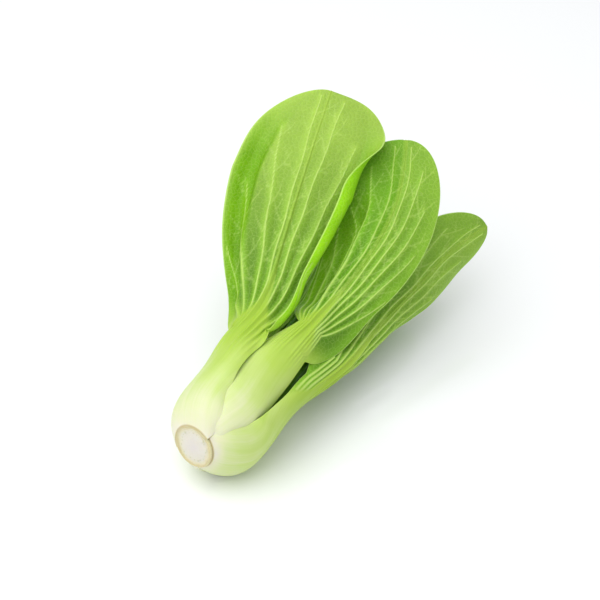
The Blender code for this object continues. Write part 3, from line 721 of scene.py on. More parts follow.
# %% Vein lines on the flattened leaf
VEIN_STEP = 0.0012
LATERAL_START = 0.030
LATERAL_ENDS = (0.97, 0.30)
END_POWER = 1.3
LATERAL_SHARES = (0.34, 0.94)
SHARE_POWER = 0.8
LATERAL_SPREAD = (1.15, 0.80)
SHARES_IN_STALK = (0.22, 0.88)
LATERAL_WIDTHS = (0.00060, 0.00022)
SWAY = 0.00030
SWAY_LENGTH = 0.034
SWAY_GROWS_OVER = 0.03
BRANCHES_PAST_NECK = 0.008
FEWEST_STEPS = 8
FIRST_BRANCH = 0.004
BRANCH_EVERY = 0.0120
BRANCH_LENGTH = 0.017
BRANCH_LEAN = (24, 48)
BRANCH_WIDTHS = (0.00030, 0.00013)
TWIG_EVERY = 0.0052
TWIG_LENGTH = 0.0062
TWIG_LEAN = (40, 75)
TWIG_WIDTHS = (0.00022, 0.00010)
FIRST_GAP = (0.4, 1.0)
LATER_GAPS = (0.65, 1.35)
SHARE_OF_LENGTH = (0.55, 1.15)
BEND_IN_DEGREES = (4, 26)
WANDER = 0.07
SAFE_SHARE = 0.975
CLEAR_OF_TIP = 0.002
WIDTH_STEPS = 400


def side_vein(rank, sign, half_at, stalk_at, neck, total, rng):
    """One side vein as points on the flat leaf. rank runs from 0 beside the rib to 1 outermost."""
    end = neck + (total - neck) * between(LATERAL_ENDS, rank**END_POWER)
    y = np.arange(neck - LATERAL_START, end, VEIN_STEP)
    in_stalk = between(SHARES_IN_STALK, rank) * stalk_at(np.minimum(y, neck))
    risen = np.clip((y - neck) / (end - neck), 0, 1) ** between(LATERAL_SPREAD, rank)
    x = in_stalk * (1 - risen) + between(LATERAL_SHARES, rank**SHARE_POWER) * half_at(end) * risen
    sway = SWAY * np.sin(2 * pi * y / SWAY_LENGTH + rng.uniform(0, 2 * pi))
    return np.stack([sign * (x + sway * ease((y - neck) / SWAY_GROWS_OVER)), y], 1)


def branches(line, every, length, lean, rng, first=0.0):
    """Side lines that leave a vein on both sides in turn and bend along with it."""
    made = []
    steps = np.linalg.norm(np.diff(line, axis=0), axis=1)
    run = np.concatenate([[0.0], np.cumsum(steps)])
    at, side = first + every * rng.uniform(*FIRST_GAP), rng.choice([-1, 1])
    while at < run[-1] - every * FIRST_GAP[0]:
        place = np.array([np.interp(at, run, line[:, 0]), np.interp(at, run, line[:, 1])])
        k = min(np.searchsorted(run, at), len(line) - 1)
        heading = np.arctan2(*(line[k] - line[k - 1])[::-1])
        heading += side * radians(rng.uniform(*lean))
        reach = length * rng.uniform(*SHARE_OF_LENGTH)
        count = max(int(reach / VEIN_STEP), 3)
        bend = -side * radians(rng.uniform(*BEND_IN_DEGREES)) / count
        headings = heading + bend * np.arange(count) + rng.normal(0, WANDER, count)
        run_on = np.cumsum(np.stack([np.cos(headings), np.sin(headings)], 1), 0) * reach / count
        made.append(np.concatenate([[place], place + run_on]))
        at += every * rng.uniform(*LATER_GAPS)
        side = -side
    return made


def vein_lines(leaf):
    """All veins of a leaf: (points on the flat leaf, half width at start and end, rank)."""
    rng = np.random.default_rng(leaf["seed"])
    neck, total = leaf["neck"], spine(leaf)[1][-1]
    y = np.linspace(0, total, WIDTH_STEPS)
    found = []
    for sign, side in ((-1, "left"), (1, "right")):
        stalk, blade = half_widths(leaf, y, side)
        half_at = partial(np.interp, xp=y, fp=stalk + blade)
        stalk_at = partial(np.interp, xp=y, fp=stalk)
        for rank in np.linspace(0, 1, measure(leaf, "laterals")):
            line = side_vein(rank, sign, half_at, stalk_at, neck, total, rng)
            inside = line[:, 0] * sign < SAFE_SHARE * half_at(line[:, 1])
            found.append((line[inside], LATERAL_WIDTHS, 0))
            up_line = line[inside & (line[:, 1] > neck + BRANCHES_PAST_NECK)]
            if len(up_line) < FEWEST_STEPS:
                continue
            for branch in branches(up_line, BRANCH_EVERY, BRANCH_LENGTH, BRANCH_LEAN, rng,
                                   FIRST_BRANCH):
                found.append((branch, BRANCH_WIDTHS, 1))
                for twig in branches(branch, TWIG_EVERY, TWIG_LENGTH, TWIG_LEAN, rng):
                    found.append((twig, TWIG_WIDTHS, 2))
    kept = []
    half_left, half_right = (sum(half_widths(leaf, y, side)) for side in ("left", "right"))
    for line, widths, rank in found:
        half = np.where(line[:, 0] < 0, np.interp(line[:, 1], y, half_left),
                        np.interp(line[:, 1], y, half_right))
        inside = (np.abs(line[:, 0]) < SAFE_SHARE * half) & (line[:, 1] < total - CLEAR_OF_TIP)
        length = len(line) if inside.all() else int(np.argmin(inside))
        if length > 2:
            kept.append((line[:length], widths, rank))
    return kept


def vein_map(leaf, ranks, name):
    """The lines as a mesh of edges on the flat leaf, with the half width stored on its points."""
    points, edges, widths = [], [], []
    for line, (start, end), rank in vein_lines(leaf):
        if rank not in ranks:
            continue
        first = len(points)
        points += [(float(x), float(y), 0.0) for x, y in line]
        edges += [(first + i, first + i + 1) for i in range(len(line) - 1)]
        widths += list(np.linspace(start, end, len(line)))
    mesh = bpy.data.meshes.new(name)
    mesh.from_pydata(points, edges, [])
    store(mesh, "width", np.array(widths))
    return new_object(name, mesh)


print(len(vein_lines(LEAVES[0])), "veins on", LEAVES[0]["name"])

# %% [markdown]
# ## Geometry Nodes press the veins into the leaf
#
# One node tree serves all nine leaves. For each point of the leaf it looks up, on the flat leaf,
# how near the closest vein is, and moves the point along the leaf's normal: up on a vein, a little
# down between veins, and in slow waves towards the margin. Both skins move the same way, so a ridge
# on the back is a groove on the inside, as on the real leaf. The same distance is stored for the
# material, which makes the veins paler. Sculpting would do for one leaf; the tree does all of them
# with a few named sizes.

# %% Small helpers for node trees
def plug(tree, node, inputs):
    """Maps a socket's name or number to a value or to another node's output."""
    for key, value in inputs.items():
        if isinstance(value, bpy.types.NodeSocket):
            tree.links.new(value, node.inputs[key])
        else:
            node.inputs[key].default_value = value
    return node


def add(tree, kind, inputs=None, **settings):
    """A new node with these inputs and settings."""
    node = tree.nodes.new(kind)
    for name, value in settings.items():
        setattr(node, name, value)
    return plug(tree, node, inputs or {})


def maths(tree, operation, *values):
    return add(tree, "ShaderNodeMath", dict(enumerate(values)), operation=operation).outputs[0]


def times(tree, *values):
    return maths(tree, "MULTIPLY", *values)


def times_plus(tree, *values):
    return maths(tree, "MULTIPLY_ADD", *values)


def less(tree, *values):
    return maths(tree, "SUBTRACT", *values)


def over(tree, *values):
    return maths(tree, "DIVIDE", *values)


def vectors(tree, operation, *values):
    return add(tree, "ShaderNodeVectorMath", dict(enumerate(values)), operation=operation).outputs[0]


def xyz(tree, *values):
    return add(tree, "ShaderNodeCombineXYZ", dict(enumerate(values))).outputs[0]


def scaled(tree, vector, scale):
    inputs = {0: vector, "Scale": scale}
    return add(tree, "ShaderNodeVectorMath", inputs, operation="SCALE").outputs[0]


def noise(tree, place, seed, **inputs):
    """Soft noise from 0 to 1. The seed shifts it along a fourth axis."""
    inputs = {"Vector": place, "W": seed, **inputs}
    return add(tree, "ShaderNodeTexNoise", inputs, noise_dimensions="4D").outputs[0]


def fade(tree, value, low, high, start=0.0, end=1.0):
    """start at or below low, end at or above high, and a soft change between."""
    inputs = {"Value": value, "From Min": low, "From Max": high, "To Min": start, "To Max": end}
    node = add(tree, "ShaderNodeMapRange", inputs, interpolation_type="SMOOTHSTEP")
    return node.outputs["Result"]


def new_tree(name, kind, inputs, outputs):
    """An empty node tree with these sockets: name and kind, and for inputs a value or None."""
    tree = bpy.data.node_groups.new(name, kind + "NodeTree")
    for socket, holds, value in inputs:
        made = tree.interface.new_socket(socket, in_out="INPUT", socket_type="NodeSocket" + holds)
        if value is not None:
            made.default_value = value
    for socket, holds in outputs:
        tree.interface.new_socket(socket, in_out="OUTPUT", socket_type="NodeSocket" + holds)
    return tree


def finished(tree, geometry, material):
    """The end of a geometry tree: real bodies instead of instances, with their material."""
    real = add(tree, "GeometryNodeRealizeInstances", {"Geometry": geometry}).outputs[0]
    dressed = add(tree, "GeometryNodeSetMaterial", {"Geometry": real, "Material": material})
    add(tree, "NodeGroupOutput", {"Geometry": dressed.outputs[0]})


print("node helpers ready")


# %% The tree that presses veins into a leaf
VEIN_TOP = 0.35
MAIN_VEIN_FOOT = 1.5
FINE_VEIN_FOOT = 2.2
FINE_VEINS_SEEN = 0.40
WAVES_ACROSS = 12.0


def read_attribute(tree, name, kind="FLOAT"):
    return add(tree, "GeometryNodeInputNamedAttribute", {"Name": name}, data_type=kind).outputs[0]


def nearest_line(tree, lines, place):
    """Distance from a place on the flat leaf to the nearest line, and that line's half width."""
    shape = add(tree, "GeometryNodeObjectInfo", {"Object": lines}).outputs["Geometry"]
    near = add(tree, "GeometryNodeProximity", {0: shape, "Sample Position": place},
               target_element="EDGES")
    width = read_attribute(tree, "width")
    index = add(tree, "GeometryNodeSampleNearest", {"Geometry": shape, "Sample Position": place})
    found = add(tree, "GeometryNodeSampleIndex",
                {"Geometry": shape, "Value": width, "Index": index.outputs[0]})
    return near.outputs["Distance"], found.outputs[0]


def press_veins_tree():
    sizes = {"Vein Height": 0.00038, "Fine Height": 0.00010, "Pleat Depth": 0.27,
             "Pleat Width": 0.60, "Wave Height": 0.0015, "Wave Length": 0.030, "Seed": 0.0}
    inputs = [("Geometry", "Geometry", None), ("Main Veins", "Object", None),
              ("Fine Veins", "Object", None), ("Material", "Material", None)]
    inputs += [(name, "Float", value) for name, value in sizes.items()]
    tree = new_tree("press veins", "Geometry", inputs, [("Geometry", "Geometry")])
    given = add(tree, "NodeGroupInput").outputs
    flat = read_attribute(tree, "flat", "FLOAT_VECTOR")
    out = read_attribute(tree, "out", "FLOAT_VECTOR")
    blade, margin = read_attribute(tree, "blade"), read_attribute(tree, "margin")
    spacing, ribbed = read_attribute(tree, "spacing"), read_attribute(tree, "ribbed")
    pleated = read_attribute(tree, "pleated")
    main_far, main_width = nearest_line(tree, given["Main Veins"], flat)
    fine_far, fine_width = nearest_line(tree, given["Fine Veins"], flat)
    main = fade(tree, over(tree, main_far, main_width), VEIN_TOP, MAIN_VEIN_FOOT, 1.0, 0.0)
    fine = fade(tree, over(tree, fine_far, fine_width), VEIN_TOP, FINE_VEIN_FOOT, 1.0, 0.0)
    width = times(tree, spacing, given["Pleat Width"])
    pleat = fade(tree, over(tree, main_far, width), 0.0, 1.0, 1.0, 0.0)
    depth = times(tree, spacing, given["Pleat Depth"])
    relief = times(tree, fine, times(tree, given["Fine Height"], blade))
    relief = times_plus(tree, main, times(tree, given["Vein Height"], ribbed), relief)
    relief = times_plus(tree, pleat, times(tree, depth, pleated), relief)
    low = times(tree, less(tree, 1.0, pleat), pleated)
    stretch = xyz(tree, WAVES_ACROSS, over(tree, 1.0, given["Wave Length"]))
    place = vectors(tree, "MULTIPLY", flat, stretch)
    waves = noise(tree, place, given["Seed"], Scale=1.0, Detail=1.0, Roughness=0.4)
    wave = times(tree, less(tree, waves, 0.5), maths(tree, "POWER", margin, 2.0))
    wave = times(tree, wave, blade)
    relief = times_plus(tree, wave, times(tree, given["Wave Height"], 2.0), relief)
    moved = add(tree, "GeometryNodeSetPosition",
                {"Geometry": given["Geometry"], "Offset": scaled(tree, out, relief)})
    marked = moved.outputs[0]
    seen = maths(tree, "MAXIMUM", main, times(tree, fine, FINE_VEINS_SEEN))
    # The valley mask is stored for the material, which paints shade between the pleats with it.
    for name, value in (("vein", seen), ("valley", low)):
        marked = add(tree, "GeometryNodeStoreNamedAttribute",
                     {"Geometry": marked, "Name": name, "Value": value}).outputs[0]
    finished(tree, marked, given["Material"])
    return tree


PRESS_VEINS = press_veins_tree()
print("press veins has", len(PRESS_VEINS.nodes), "nodes")


# %% From node tree to plain mesh
def apply_tree(piece, tree, values):
    """Runs a node tree on a piece with these inputs and keeps the result as its plain mesh."""
    modifier = piece.modifiers.new(tree.name, "NODES")
    modifier.node_group = tree
    for item in tree.interface.items_tree:
        if item.in_out == "INPUT" and item.name in values:
            modifier[item.identifier] = values[item.name]
    bpy.context.view_layer.update()
    graph = bpy.context.evaluated_depsgraph_get()
    made = bpy.data.meshes.new_from_object(piece.evaluated_get(graph))
    piece.modifiers.remove(modifier)
    piece.data = made
    return piece


print("trees are applied with new_from_object")

# %% [markdown]
# ## Effects that several materials share
#
# Plant skin is never one even colour. Three small shader groups hold what the finishes have in
# common: soft clouds with a fine grain, fibres that run along a stalk, and the net of tiny veins
# between the pressed ones. Each is built once and placed in the materials with its own sizes. On a
# leaf they read the flat leaf's coordinates, so the patterns bend with it.

# %% Shader groups
NOISE_RANGE = (0.3, 0.7)
CLOUD_DETAIL = 3.0
GRAIN_SCALE = 11.0
FINE_DETAIL = 2.0
CELL_WARP = 0.9
CELL_MIDDLE = 0.45


def mottle_group():
    """Clouds: slow changes of tone. Grain: fine unevenness, about a tenth of the clouds' size."""
    inputs = [("Place", "Vector", None), ("Cloud Size", "Float", 0.02), ("Seed", "Float", 0.0)]
    group = new_tree("mottle", "Shader", inputs, [("Clouds", "Float"), ("Grain", "Float")])
    given = add(group, "NodeGroupInput").outputs
    scale = over(group, 1.0, given["Cloud Size"])
    found = {}
    for name, size, detail in (("Clouds", 1.0, CLOUD_DETAIL), ("Grain", GRAIN_SCALE, FINE_DETAIL)):
        value = noise(group, given["Place"], given["Seed"], Detail=detail,
                      Scale=times(group, scale, size))
        found[name] = fade(group, value, *NOISE_RANGE)
    add(group, "NodeGroupOutput", found)
    return group


def fibre_group():
    """Long fibres: noise that is stretched along the leaf."""
    inputs = [("Flat", "Vector", None), ("Fibre Width", "Float", 0.0009),
              ("Fibre Length", "Float", 0.03), ("Seed", "Float", 0.0)]
    group = new_tree("fibres", "Shader", inputs, [("Fibres", "Float")])
    given = add(group, "NodeGroupInput").outputs
    widths, lengths = over(group, 1.0, given["Fibre Width"]), over(group, 1.0, given["Fibre Length"])
    place = vectors(group, "MULTIPLY", given["Flat"], xyz(group, widths, lengths, given["Seed"]))
    value = noise(group, place, given["Seed"], Scale=1.0, Detail=FINE_DETAIL)
    add(group, "NodeGroupOutput", {"Fibres": fade(group, value, *NOISE_RANGE)})
    return group


def vein_net_group():
    """The finest veins: edges of small cells, bent a little so that they don't look drawn."""
    inputs = [("Flat", "Vector", None), ("Cell Size", "Float", 0.0022), ("Line", "Float", 0.11)]
    group = new_tree("vein net", "Shader", inputs, [("Net", "Float"), ("Cells", "Float")])
    given = add(group, "NodeGroupInput").outputs
    scale = over(group, 1.0, given["Cell Size"])
    warp = add(group, "ShaderNodeTexNoise", {"Vector": given["Flat"], "Scale": scale})
    shift = scaled(group, warp.outputs["Color"], times(group, given["Cell Size"], CELL_WARP))
    place = vectors(group, "ADD", given["Flat"], shift)
    edges = add(group, "ShaderNodeTexVoronoi", {"Vector": place, "Scale": scale},
                feature="DISTANCE_TO_EDGE", voronoi_dimensions="2D").outputs["Distance"]
    net = fade(group, edges, 0.0, given["Line"], 1.0, 0.0)
    add(group, "NodeGroupOutput", {"Net": net, "Cells": fade(group, edges, 0.0, CELL_MIDDLE)})
    return group


MOTTLE, FIBRES, VEIN_NET = mottle_group(), fibre_group(), vein_net_group()
print("shader groups:", MOTTLE.name, FIBRES.name, VEIN_NET.name)

# %% [markdown]
# ## The leaf's finish
#
# The same skin changes from ivory at the foot through pale yellow-green on the stalk to leaf green.
# The back of a blade is paler and a little grey, the inside is a deep green, veins and the
# very edge are pale. Painted light is mixed in as well: a deeper green as painted shade in a fold,
# a brighter green as a painted glow where light would shine through a rolled margin, and a dark
# green as painted shade in the valleys between the pleats. All this is mixed from the values stored
# on the points. Light also passes through: the blade is under half a millimetre thick, so the
# shader scatters light below the surface, which softens the shading. The heart leaves are a darker
# green, painted shade for the deep gap between the stalks.

# %% Leaf material
SKIN_LIGHT_RADIUS = (0.75, 1.0, 0.22)
SKIN_LIGHT_SCALE = 0.0009
DRY_UNTIL = 0.018
DRY_SHARE = 0.8
DRY_TAN = (0.56, 0.47, 0.22)
LEAF_CLOUDS = 0.018
STREAK_SIZE = {"Fibre Width": 0.006, "Fibre Length": 0.09}
STREAKS_SEEN, CLOUDS_SEEN, FIBRES_SEEN = 0.30, 0.10, 0.05
VALLEY_SHARE, CLOUD_SHARE, VALLEY_POWER = 0.62, 0.28, 1.2
NET_SEEN, VEINS_SEEN, RIM_SEEN = 0.16, 0.72, 0.65
RIM_FROM, RIM_FULL = 0.975, 0.995
STALK_ROUGHNESS, BLADE_ROUGHNESS, GRAIN_ROUGHNESS = 0.34, 0.44, 0.08
FIBRE_HEIGHT, GRAIN_HEIGHT = 0.10, 0.2


def group_node(tree, group, inputs):
    return add(tree, "ShaderNodeGroup", inputs, node_tree=group).outputs


def blend_colours(tree, share, *colours):
    """From the first colour to the second. Each is plain red, green and blue or a node's output."""
    colours = [(*c, 1.0) if isinstance(c, tuple) else c for c in colours]
    inputs = {0: share, 6: colours[0], 7: colours[1]}
    return add(tree, "ShaderNodeMix", inputs, data_type="RGBA").outputs[2]


def colour_stops(tree, value, wanted):
    """The colours of these stops, each (place, colour), at a value from 0 to 1."""
    ramp = add(tree, "ShaderNodeValToRGB", {0: value})
    stops = ramp.color_ramp.elements
    for place, _ in wanted[2:]:
        stops.new(place)
    for stop, (place, colour) in zip(stops, wanted):
        stop.position, stop.color = place, (*colour, 1.0)
    return ramp.outputs[0]


def new_material(name):
    """A material whose tree holds only its Principled BSDF and output."""
    material = bpy.data.materials.new(name)
    material.use_nodes = True
    return material, material.node_tree, material.node_tree.nodes["Principled BSDF"]


def stored(tree, name, output="Fac"):
    return add(tree, "ShaderNodeAttribute", attribute_name=name).outputs[output]


def object_mottle(tree, size, seed):
    place = add(tree, "ShaderNodeTexCoord").outputs["Object"]
    return group_node(tree, MOTTLE, {"Place": place, "Cloud Size": size, "Seed": seed})


def leaf_material(name, stalk_stops, back, inside, painted_fold_shade, painted_glow, valley, vein, rim):
    material, tree, skin = new_material(name)
    flat = stored(tree, "flat", "Vector")
    up, blade, margin = stored(tree, "up"), stored(tree, "blade"), stored(tree, "margin")
    pressed, inner, low = stored(tree, "vein"), stored(tree, "inside"), stored(tree, "valley")
    fold_shade_and_glow, depth = stored(tree, "fold_shade_and_glow"), stored(tree, "depth")
    mottle = group_node(tree, MOTTLE, {"Place": flat, "Cloud Size": LEAF_CLOUDS})
    fibres = group_node(tree, FIBRES, {"Flat": flat})["Fibres"]
    streaks = group_node(tree, FIBRES, {"Flat": flat, **STREAK_SIZE})["Fibres"]
    net = group_node(tree, VEIN_NET, {"Flat": flat})

    dry = fade(tree, up, DRY_UNTIL / 3, DRY_UNTIL, DRY_SHARE, 0.0)
    up = times_plus(tree, times(tree, less(tree, streaks, 0.5), up), STREAKS_SEEN, up)
    up = times_plus(tree, less(tree, mottle["Clouds"], 0.5), CLOUDS_SEEN, up)
    up = times_plus(tree, less(tree, fibres, 0.5), FIBRES_SEEN, up)
    stalk = blend_colours(tree, dry, colour_stops(tree, up, stalk_stops), DRY_TAN)

    green = blend_colours(tree, maths(tree, "MAXIMUM", inner, depth), back, inside)
    # Painted light: a deeper green as shade in a fold, and on the inside a brighter green as a glow of
    # light through the rolled margin.
    green = blend_colours(tree, fold_shade_and_glow, green, painted_fold_shade)
    green = blend_colours(tree, times(tree, inner, fold_shade_and_glow), green, painted_glow)
    # Painted shade: the valleys between the pleats darken towards the valley colour, and the clouds
    # borrow that dark green for random patches.
    dark = blend_colours(tree, VALLEY_SHARE, green, valley)
    green = blend_colours(tree, times(tree, mottle["Clouds"], CLOUD_SHARE), green, dark)
    green = blend_colours(tree, maths(tree, "POWER", low, VALLEY_POWER), green, dark)
    green = blend_colours(tree, times(tree, net["Net"], NET_SEEN), green, vein)
    green = blend_colours(tree, times(tree, pressed, VEINS_SEEN), green, vein)
    green = blend_colours(tree, fade(tree, margin, RIM_FROM, RIM_FULL, 0.0, RIM_SEEN), green, rim)

    rough = {"Value": blade, "To Min": STALK_ROUGHNESS, "To Max": BLADE_ROUGHNESS}
    rough = add(tree, "ShaderNodeMapRange", rough).outputs[0]
    height = times(tree, net["Cells"], blade)
    soft = times(tree, fibres, less(tree, 1.0, blade))
    height = times_plus(tree, soft, FIBRE_HEIGHT, height)
    height = times_plus(tree, times(tree, mottle["Grain"], blade), GRAIN_HEIGHT, height)
    bump = add(tree, "ShaderNodeBump", {"Height": height, "Strength": 0.55, "Distance": 0.00022})
    plug(tree, skin, {
        "Base Color": blend_colours(tree, blade, stalk, green),
        "Roughness": times_plus(tree, mottle["Grain"], GRAIN_ROUGHNESS, rough),
        "Normal": bump.outputs[0], "Subsurface Weight": 0.32, "Specular IOR Level": 0.20,
        "Subsurface Radius": SKIN_LIGHT_RADIUS, "Subsurface Scale": SKIN_LIGHT_SCALE,
    })
    return material


LEAF = leaf_material(
    "leaf",
    stalk_stops=((0.0, (0.78, 0.76, 0.60)), (0.17, (0.72, 0.76, 0.46)), (0.40, (0.58, 0.72, 0.24)),
                 (0.68, (0.46, 0.64, 0.11)), (1.0, (0.37, 0.56, 0.055))),
    # The fold, glow and valley colours are painted light: shade in a fold, glow through a rolled
    # margin, shade between the pleats.
    back=(0.40, 0.60, 0.085), inside=(0.17, 0.41, 0.010), painted_fold_shade=(0.21, 0.47, 0.003),
    painted_glow=(0.34, 0.74, 0.006), valley=(0.035, 0.12, 0.003),
    vein=(0.58, 0.77, 0.20), rim=(0.54, 0.76, 0.20),
)
# The heart leaves are dark green as painted shade, for the deep gap between the stalks where they show.
PAINTED_SHADE_HEART_LEAF = leaf_material(
    "heart leaf in painted shade",
    stalk_stops=((0.0, (0.70, 0.70, 0.42)), (0.20, (0.46, 0.55, 0.20)), (0.42, (0.18, 0.32, 0.05)),
                 (0.70, (0.10, 0.25, 0.02)), (1.0, (0.10, 0.27, 0.02))),
    back=(0.09, 0.27, 0.018), inside=(0.07, 0.25, 0.004), painted_fold_shade=(0.07, 0.25, 0.004),
    painted_glow=(0.07, 0.25, 0.004), valley=(0.015, 0.09, 0.004),
    vein=(0.34, 0.56, 0.10), rim=(0.40, 0.60, 0.14),
)
print("leaf materials:", LEAF.name, "and", PAINTED_SHADE_HEART_LEAF.name)

# %% [markdown]
# ## The nine leaves
#
# Each leaf gets its vein maps, goes through the tree once and becomes a plain mesh that stands for
# its solid. Its vein maps are then removed, because they lie flat and aren't part of the head.

# %% Make the leaves
WAVES = {"leaf_outer_upper": 0.0006, "leaf_outer_right": 0.0022, "leaf_second_middle": 0.0012}
USUAL_WAVE = 0.0015


def make_leaf(leaf):
    """One leaf in its finish, in the place of the solid of its name."""
    name = leaf["name"]
    piece = new_object(name + "_looks", leaf_meshes[name])
    maps = [vein_map(leaf, (0,), name + "_main"), vein_map(leaf, (1, 2), name + "_fine")]
    material = PAINTED_SHADE_HEART_LEAF if leaf["layer"] == 2 else LEAF
    values = {"Main Veins": maps[0], "Fine Veins": maps[1], "Seed": float(leaf["seed"]),
              "Wave Height": WAVES.get(name, USUAL_WAVE), "Material": material}
    apply_tree(piece, PRESS_VEINS, values)
    for lines in maps:
        bpy.data.objects.remove(lines)
    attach(piece, "root")
    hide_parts(name)
    return piece


for leaf in LEAVES:
    piece = make_leaf(leaf)
    print(piece.name, [round(1000 * side) for side in piece.dimensions], "mm")

# %% [markdown]
# ## The cut stem
#
# The foot ends in the face where the head was cut from its root: a pale, moist disc with a faint
# lilac tint, a tan rim, and round it the dry edges of the leaf bases. It is a turned piece, so the
# profile is swept round the axis, with a little unevenness so that it doesn't look machined.

# %% Cut stem material
CUT_STOPS = ((0.0, (0.75, 0.71, 0.68)), (0.68, (0.77, 0.75, 0.64)), (0.83, (0.76, 0.72, 0.48)),
             (0.93, (0.62, 0.54, 0.27)), (1.0, (0.68, 0.64, 0.36)))
CUT_GRAIN = (0.72, 0.62, 0.50)
CUT_CLOUDS = 0.006
RING_WANDERS = 0.10
GRAIN_SEEN = 0.18
CUT_ROUGHNESS = 0.34


def cut_stem_material():
    material, tree, skin = new_material("cut stem")
    mottle = object_mottle(tree, CUT_CLOUDS, 5.0)
    ring = times_plus(tree, less(tree, mottle["Clouds"], 0.5), RING_WANDERS, stored(tree, "ring"))
    face = colour_stops(tree, ring, CUT_STOPS)
    height = times_plus(tree, mottle["Grain"], 0.5, mottle["Clouds"])
    bump = add(tree, "ShaderNodeBump", {"Height": height, "Strength": 0.5, "Distance": 0.0004})
    plug(tree, skin, {
        "Base Color": blend_colours(tree, times(tree, mottle["Grain"], GRAIN_SEEN), face, CUT_GRAIN),
        "Roughness": times_plus(tree, mottle["Grain"], 0.2, CUT_ROUGHNESS),
        "Normal": bump.outputs[0], "Subsurface Weight": 0.5,
        "Subsurface Radius": (1.0, 0.8, 0.5), "Subsurface Scale": 0.002,
    })
    return material


CUT_STEM = cut_stem_material()
print("material:", CUT_STEM.name)

# %% Turned stem with its cut face
# The profile: how far along the stem's axis and how far from it, from the cut face inwards.
CORE_PROFILE = (
    (-0.0231, 0.0), (-0.0230, 0.0045), (-0.0228, 0.0080), (-0.0228, 0.0092), (-0.0231, 0.0098),
    (-0.0233, 0.0102), (-0.0232, 0.0106), (-0.0226, 0.0109), (-0.0217, 0.0107), (-0.0202, 0.0094),
    (-0.0146, 0.0077), (-0.0086, 0.0062), (-0.0036, 0.0040), (-0.0008, 0.0013), (-0.0006, 0.0),
)
CORE_SIDES = 160
CORE_RING_STEPS = 64
UNEVENNESS = 0.00025
UNEVEN_FROM = 0.006
UNEVEN_WAVES = (2, 3, 5, 8, 13)
WAVE_SHIFT = 1.7
UNEVEN_ALONG = 0.8
UNEVEN_ACROSS = 0.6


def turned_stem():
    """Rings of points round the axis, closed by a point at each end."""
    profile, _ = smooth_path([(step, radius, 0) for step, radius in CORE_PROFILE], CORE_RING_STEPS)
    profile[:, 1] = np.maximum(profile[:, 1], 0.0)
    profile[0, 1] = profile[-1, 1] = 0.0
    angles = 2 * pi * np.arange(CORE_SIDES) / CORE_SIDES
    wobble = sum(np.sin(k * angles + WAVE_SHIFT * k) / k for k in UNEVEN_WAVES)
    points, ring = [FOOT_CENTRE + ALONG * profile[0, 0]], [0.0]
    reach = np.maximum.accumulate(profile[:, 1]) / profile[:, 1].max()
    for (step, radius, _), share in zip(profile[1:-1], reach[1:-1]):
        uneven = UNEVENNESS * wobble * ease(radius / UNEVEN_FROM)
        for angle, more in zip(angles, uneven):
            centre = FOOT_CENTRE + ALONG * (step + more * UNEVEN_ALONG)
            points.append(centre + radial(angle) * (radius + more * UNEVEN_ACROSS))
            ring.append(share)
    points.append(FOOT_CENTRE + ALONG * profile[-1, 0])
    ring.append(1.0)
    sides = [(k, (k + 1) % CORE_SIDES) for k in range(CORE_SIDES)]
    last, end = 1 + (len(profile) - 3) * CORE_SIDES, len(points) - 1
    faces = [(a + p, a + q, a + q + CORE_SIDES, a + p + CORE_SIDES)
             for a in range(1, last, CORE_SIDES) for p, q in sides]
    faces += [(0, 1 + q, 1 + p) for p, q in sides]
    faces += [(last + p, last + q, end) for p, q in sides]
    mesh = bpy.data.meshes.new("cut_stem_looks")
    mesh.from_pydata([tuple(p) for p in points], [], faces)
    store(mesh, "ring", np.array(ring))
    mesh.shade_smooth()
    mesh.materials.append(CUT_STEM)
    piece = new_object("stem_core_looks", mesh)
    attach(piece, "root")
    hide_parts("stem_core")
    return piece


stem = turned_stem()
print(stem.name, [round(1000 * side, 1) for side in stem.dimensions], "mm")

# %% [markdown]
# ## Vein ends on the cut face
#
# Where the stem is cut, the bundles that feed the leaves end in a ring of small firm dots. A second
# node tree sets them: points round a circle, each shifted a little by a seeded random value, with a
# flattened ball on every point. A texture could draw them, but as bodies they catch the light.

# %% Ring of vein ends
VEIN_ENDS_STEP = -0.0229
VEIN_ENDS_COUNT = 22
STRAY_ANGLE = 0.6
STRAY_SIZE = 0.7


def vein_ends_tree():
    inputs = [("Geometry", "Geometry", None), ("Count", "Int", VEIN_ENDS_COUNT),
              ("Ring Radius", "Float", 0.0074), ("Dot Radius", "Float", 0.00042),
              ("Unevenness", "Float", 0.08), ("Flatness", "Float", 0.35), ("Seed", "Int", 4),
              ("Material", "Material", None)]
    tree = new_tree("vein ends", "Geometry", inputs, [("Geometry", "Geometry")])
    given = add(tree, "NodeGroupInput").outputs
    index = add(tree, "GeometryNodeInputIndex").outputs[0]

    def uneven(extra, spread):
        seed = maths(tree, "ADD", given["Seed"], extra)
        node = add(tree, "FunctionNodeRandomValue", {"ID": index, "Seed": seed})
        return times(tree, less(tree, node.outputs[1], 0.5), spread)

    step = over(tree, 2 * pi, given["Count"])
    angle = times(tree, maths(tree, "ADD", index, uneven(0, STRAY_ANGLE)), step)
    reach = times_plus(tree, uneven(1, given["Unevenness"]), 2.0, 1.0)
    reach = times(tree, reach, given["Ring Radius"])
    place = xyz(tree, times(tree, reach, maths(tree, "COSINE", angle)),
                times(tree, reach, maths(tree, "SINE", angle)))
    points = add(tree, "GeometryNodePoints", {"Count": given["Count"], "Position": place})
    ball = add(tree, "GeometryNodeMeshIcoSphere", {"Radius": given["Dot Radius"], "Subdivisions": 3})
    size = maths(tree, "ADD", 1.0, uneven(2, STRAY_SIZE))
    flat = xyz(tree, size, size, times(tree, size, given["Flatness"]))
    dots = add(tree, "GeometryNodeInstanceOnPoints",
               {"Points": points.outputs[0], "Instance": ball.outputs[0], "Scale": flat})
    finished(tree, dots.outputs[0], given["Material"])
    return tree


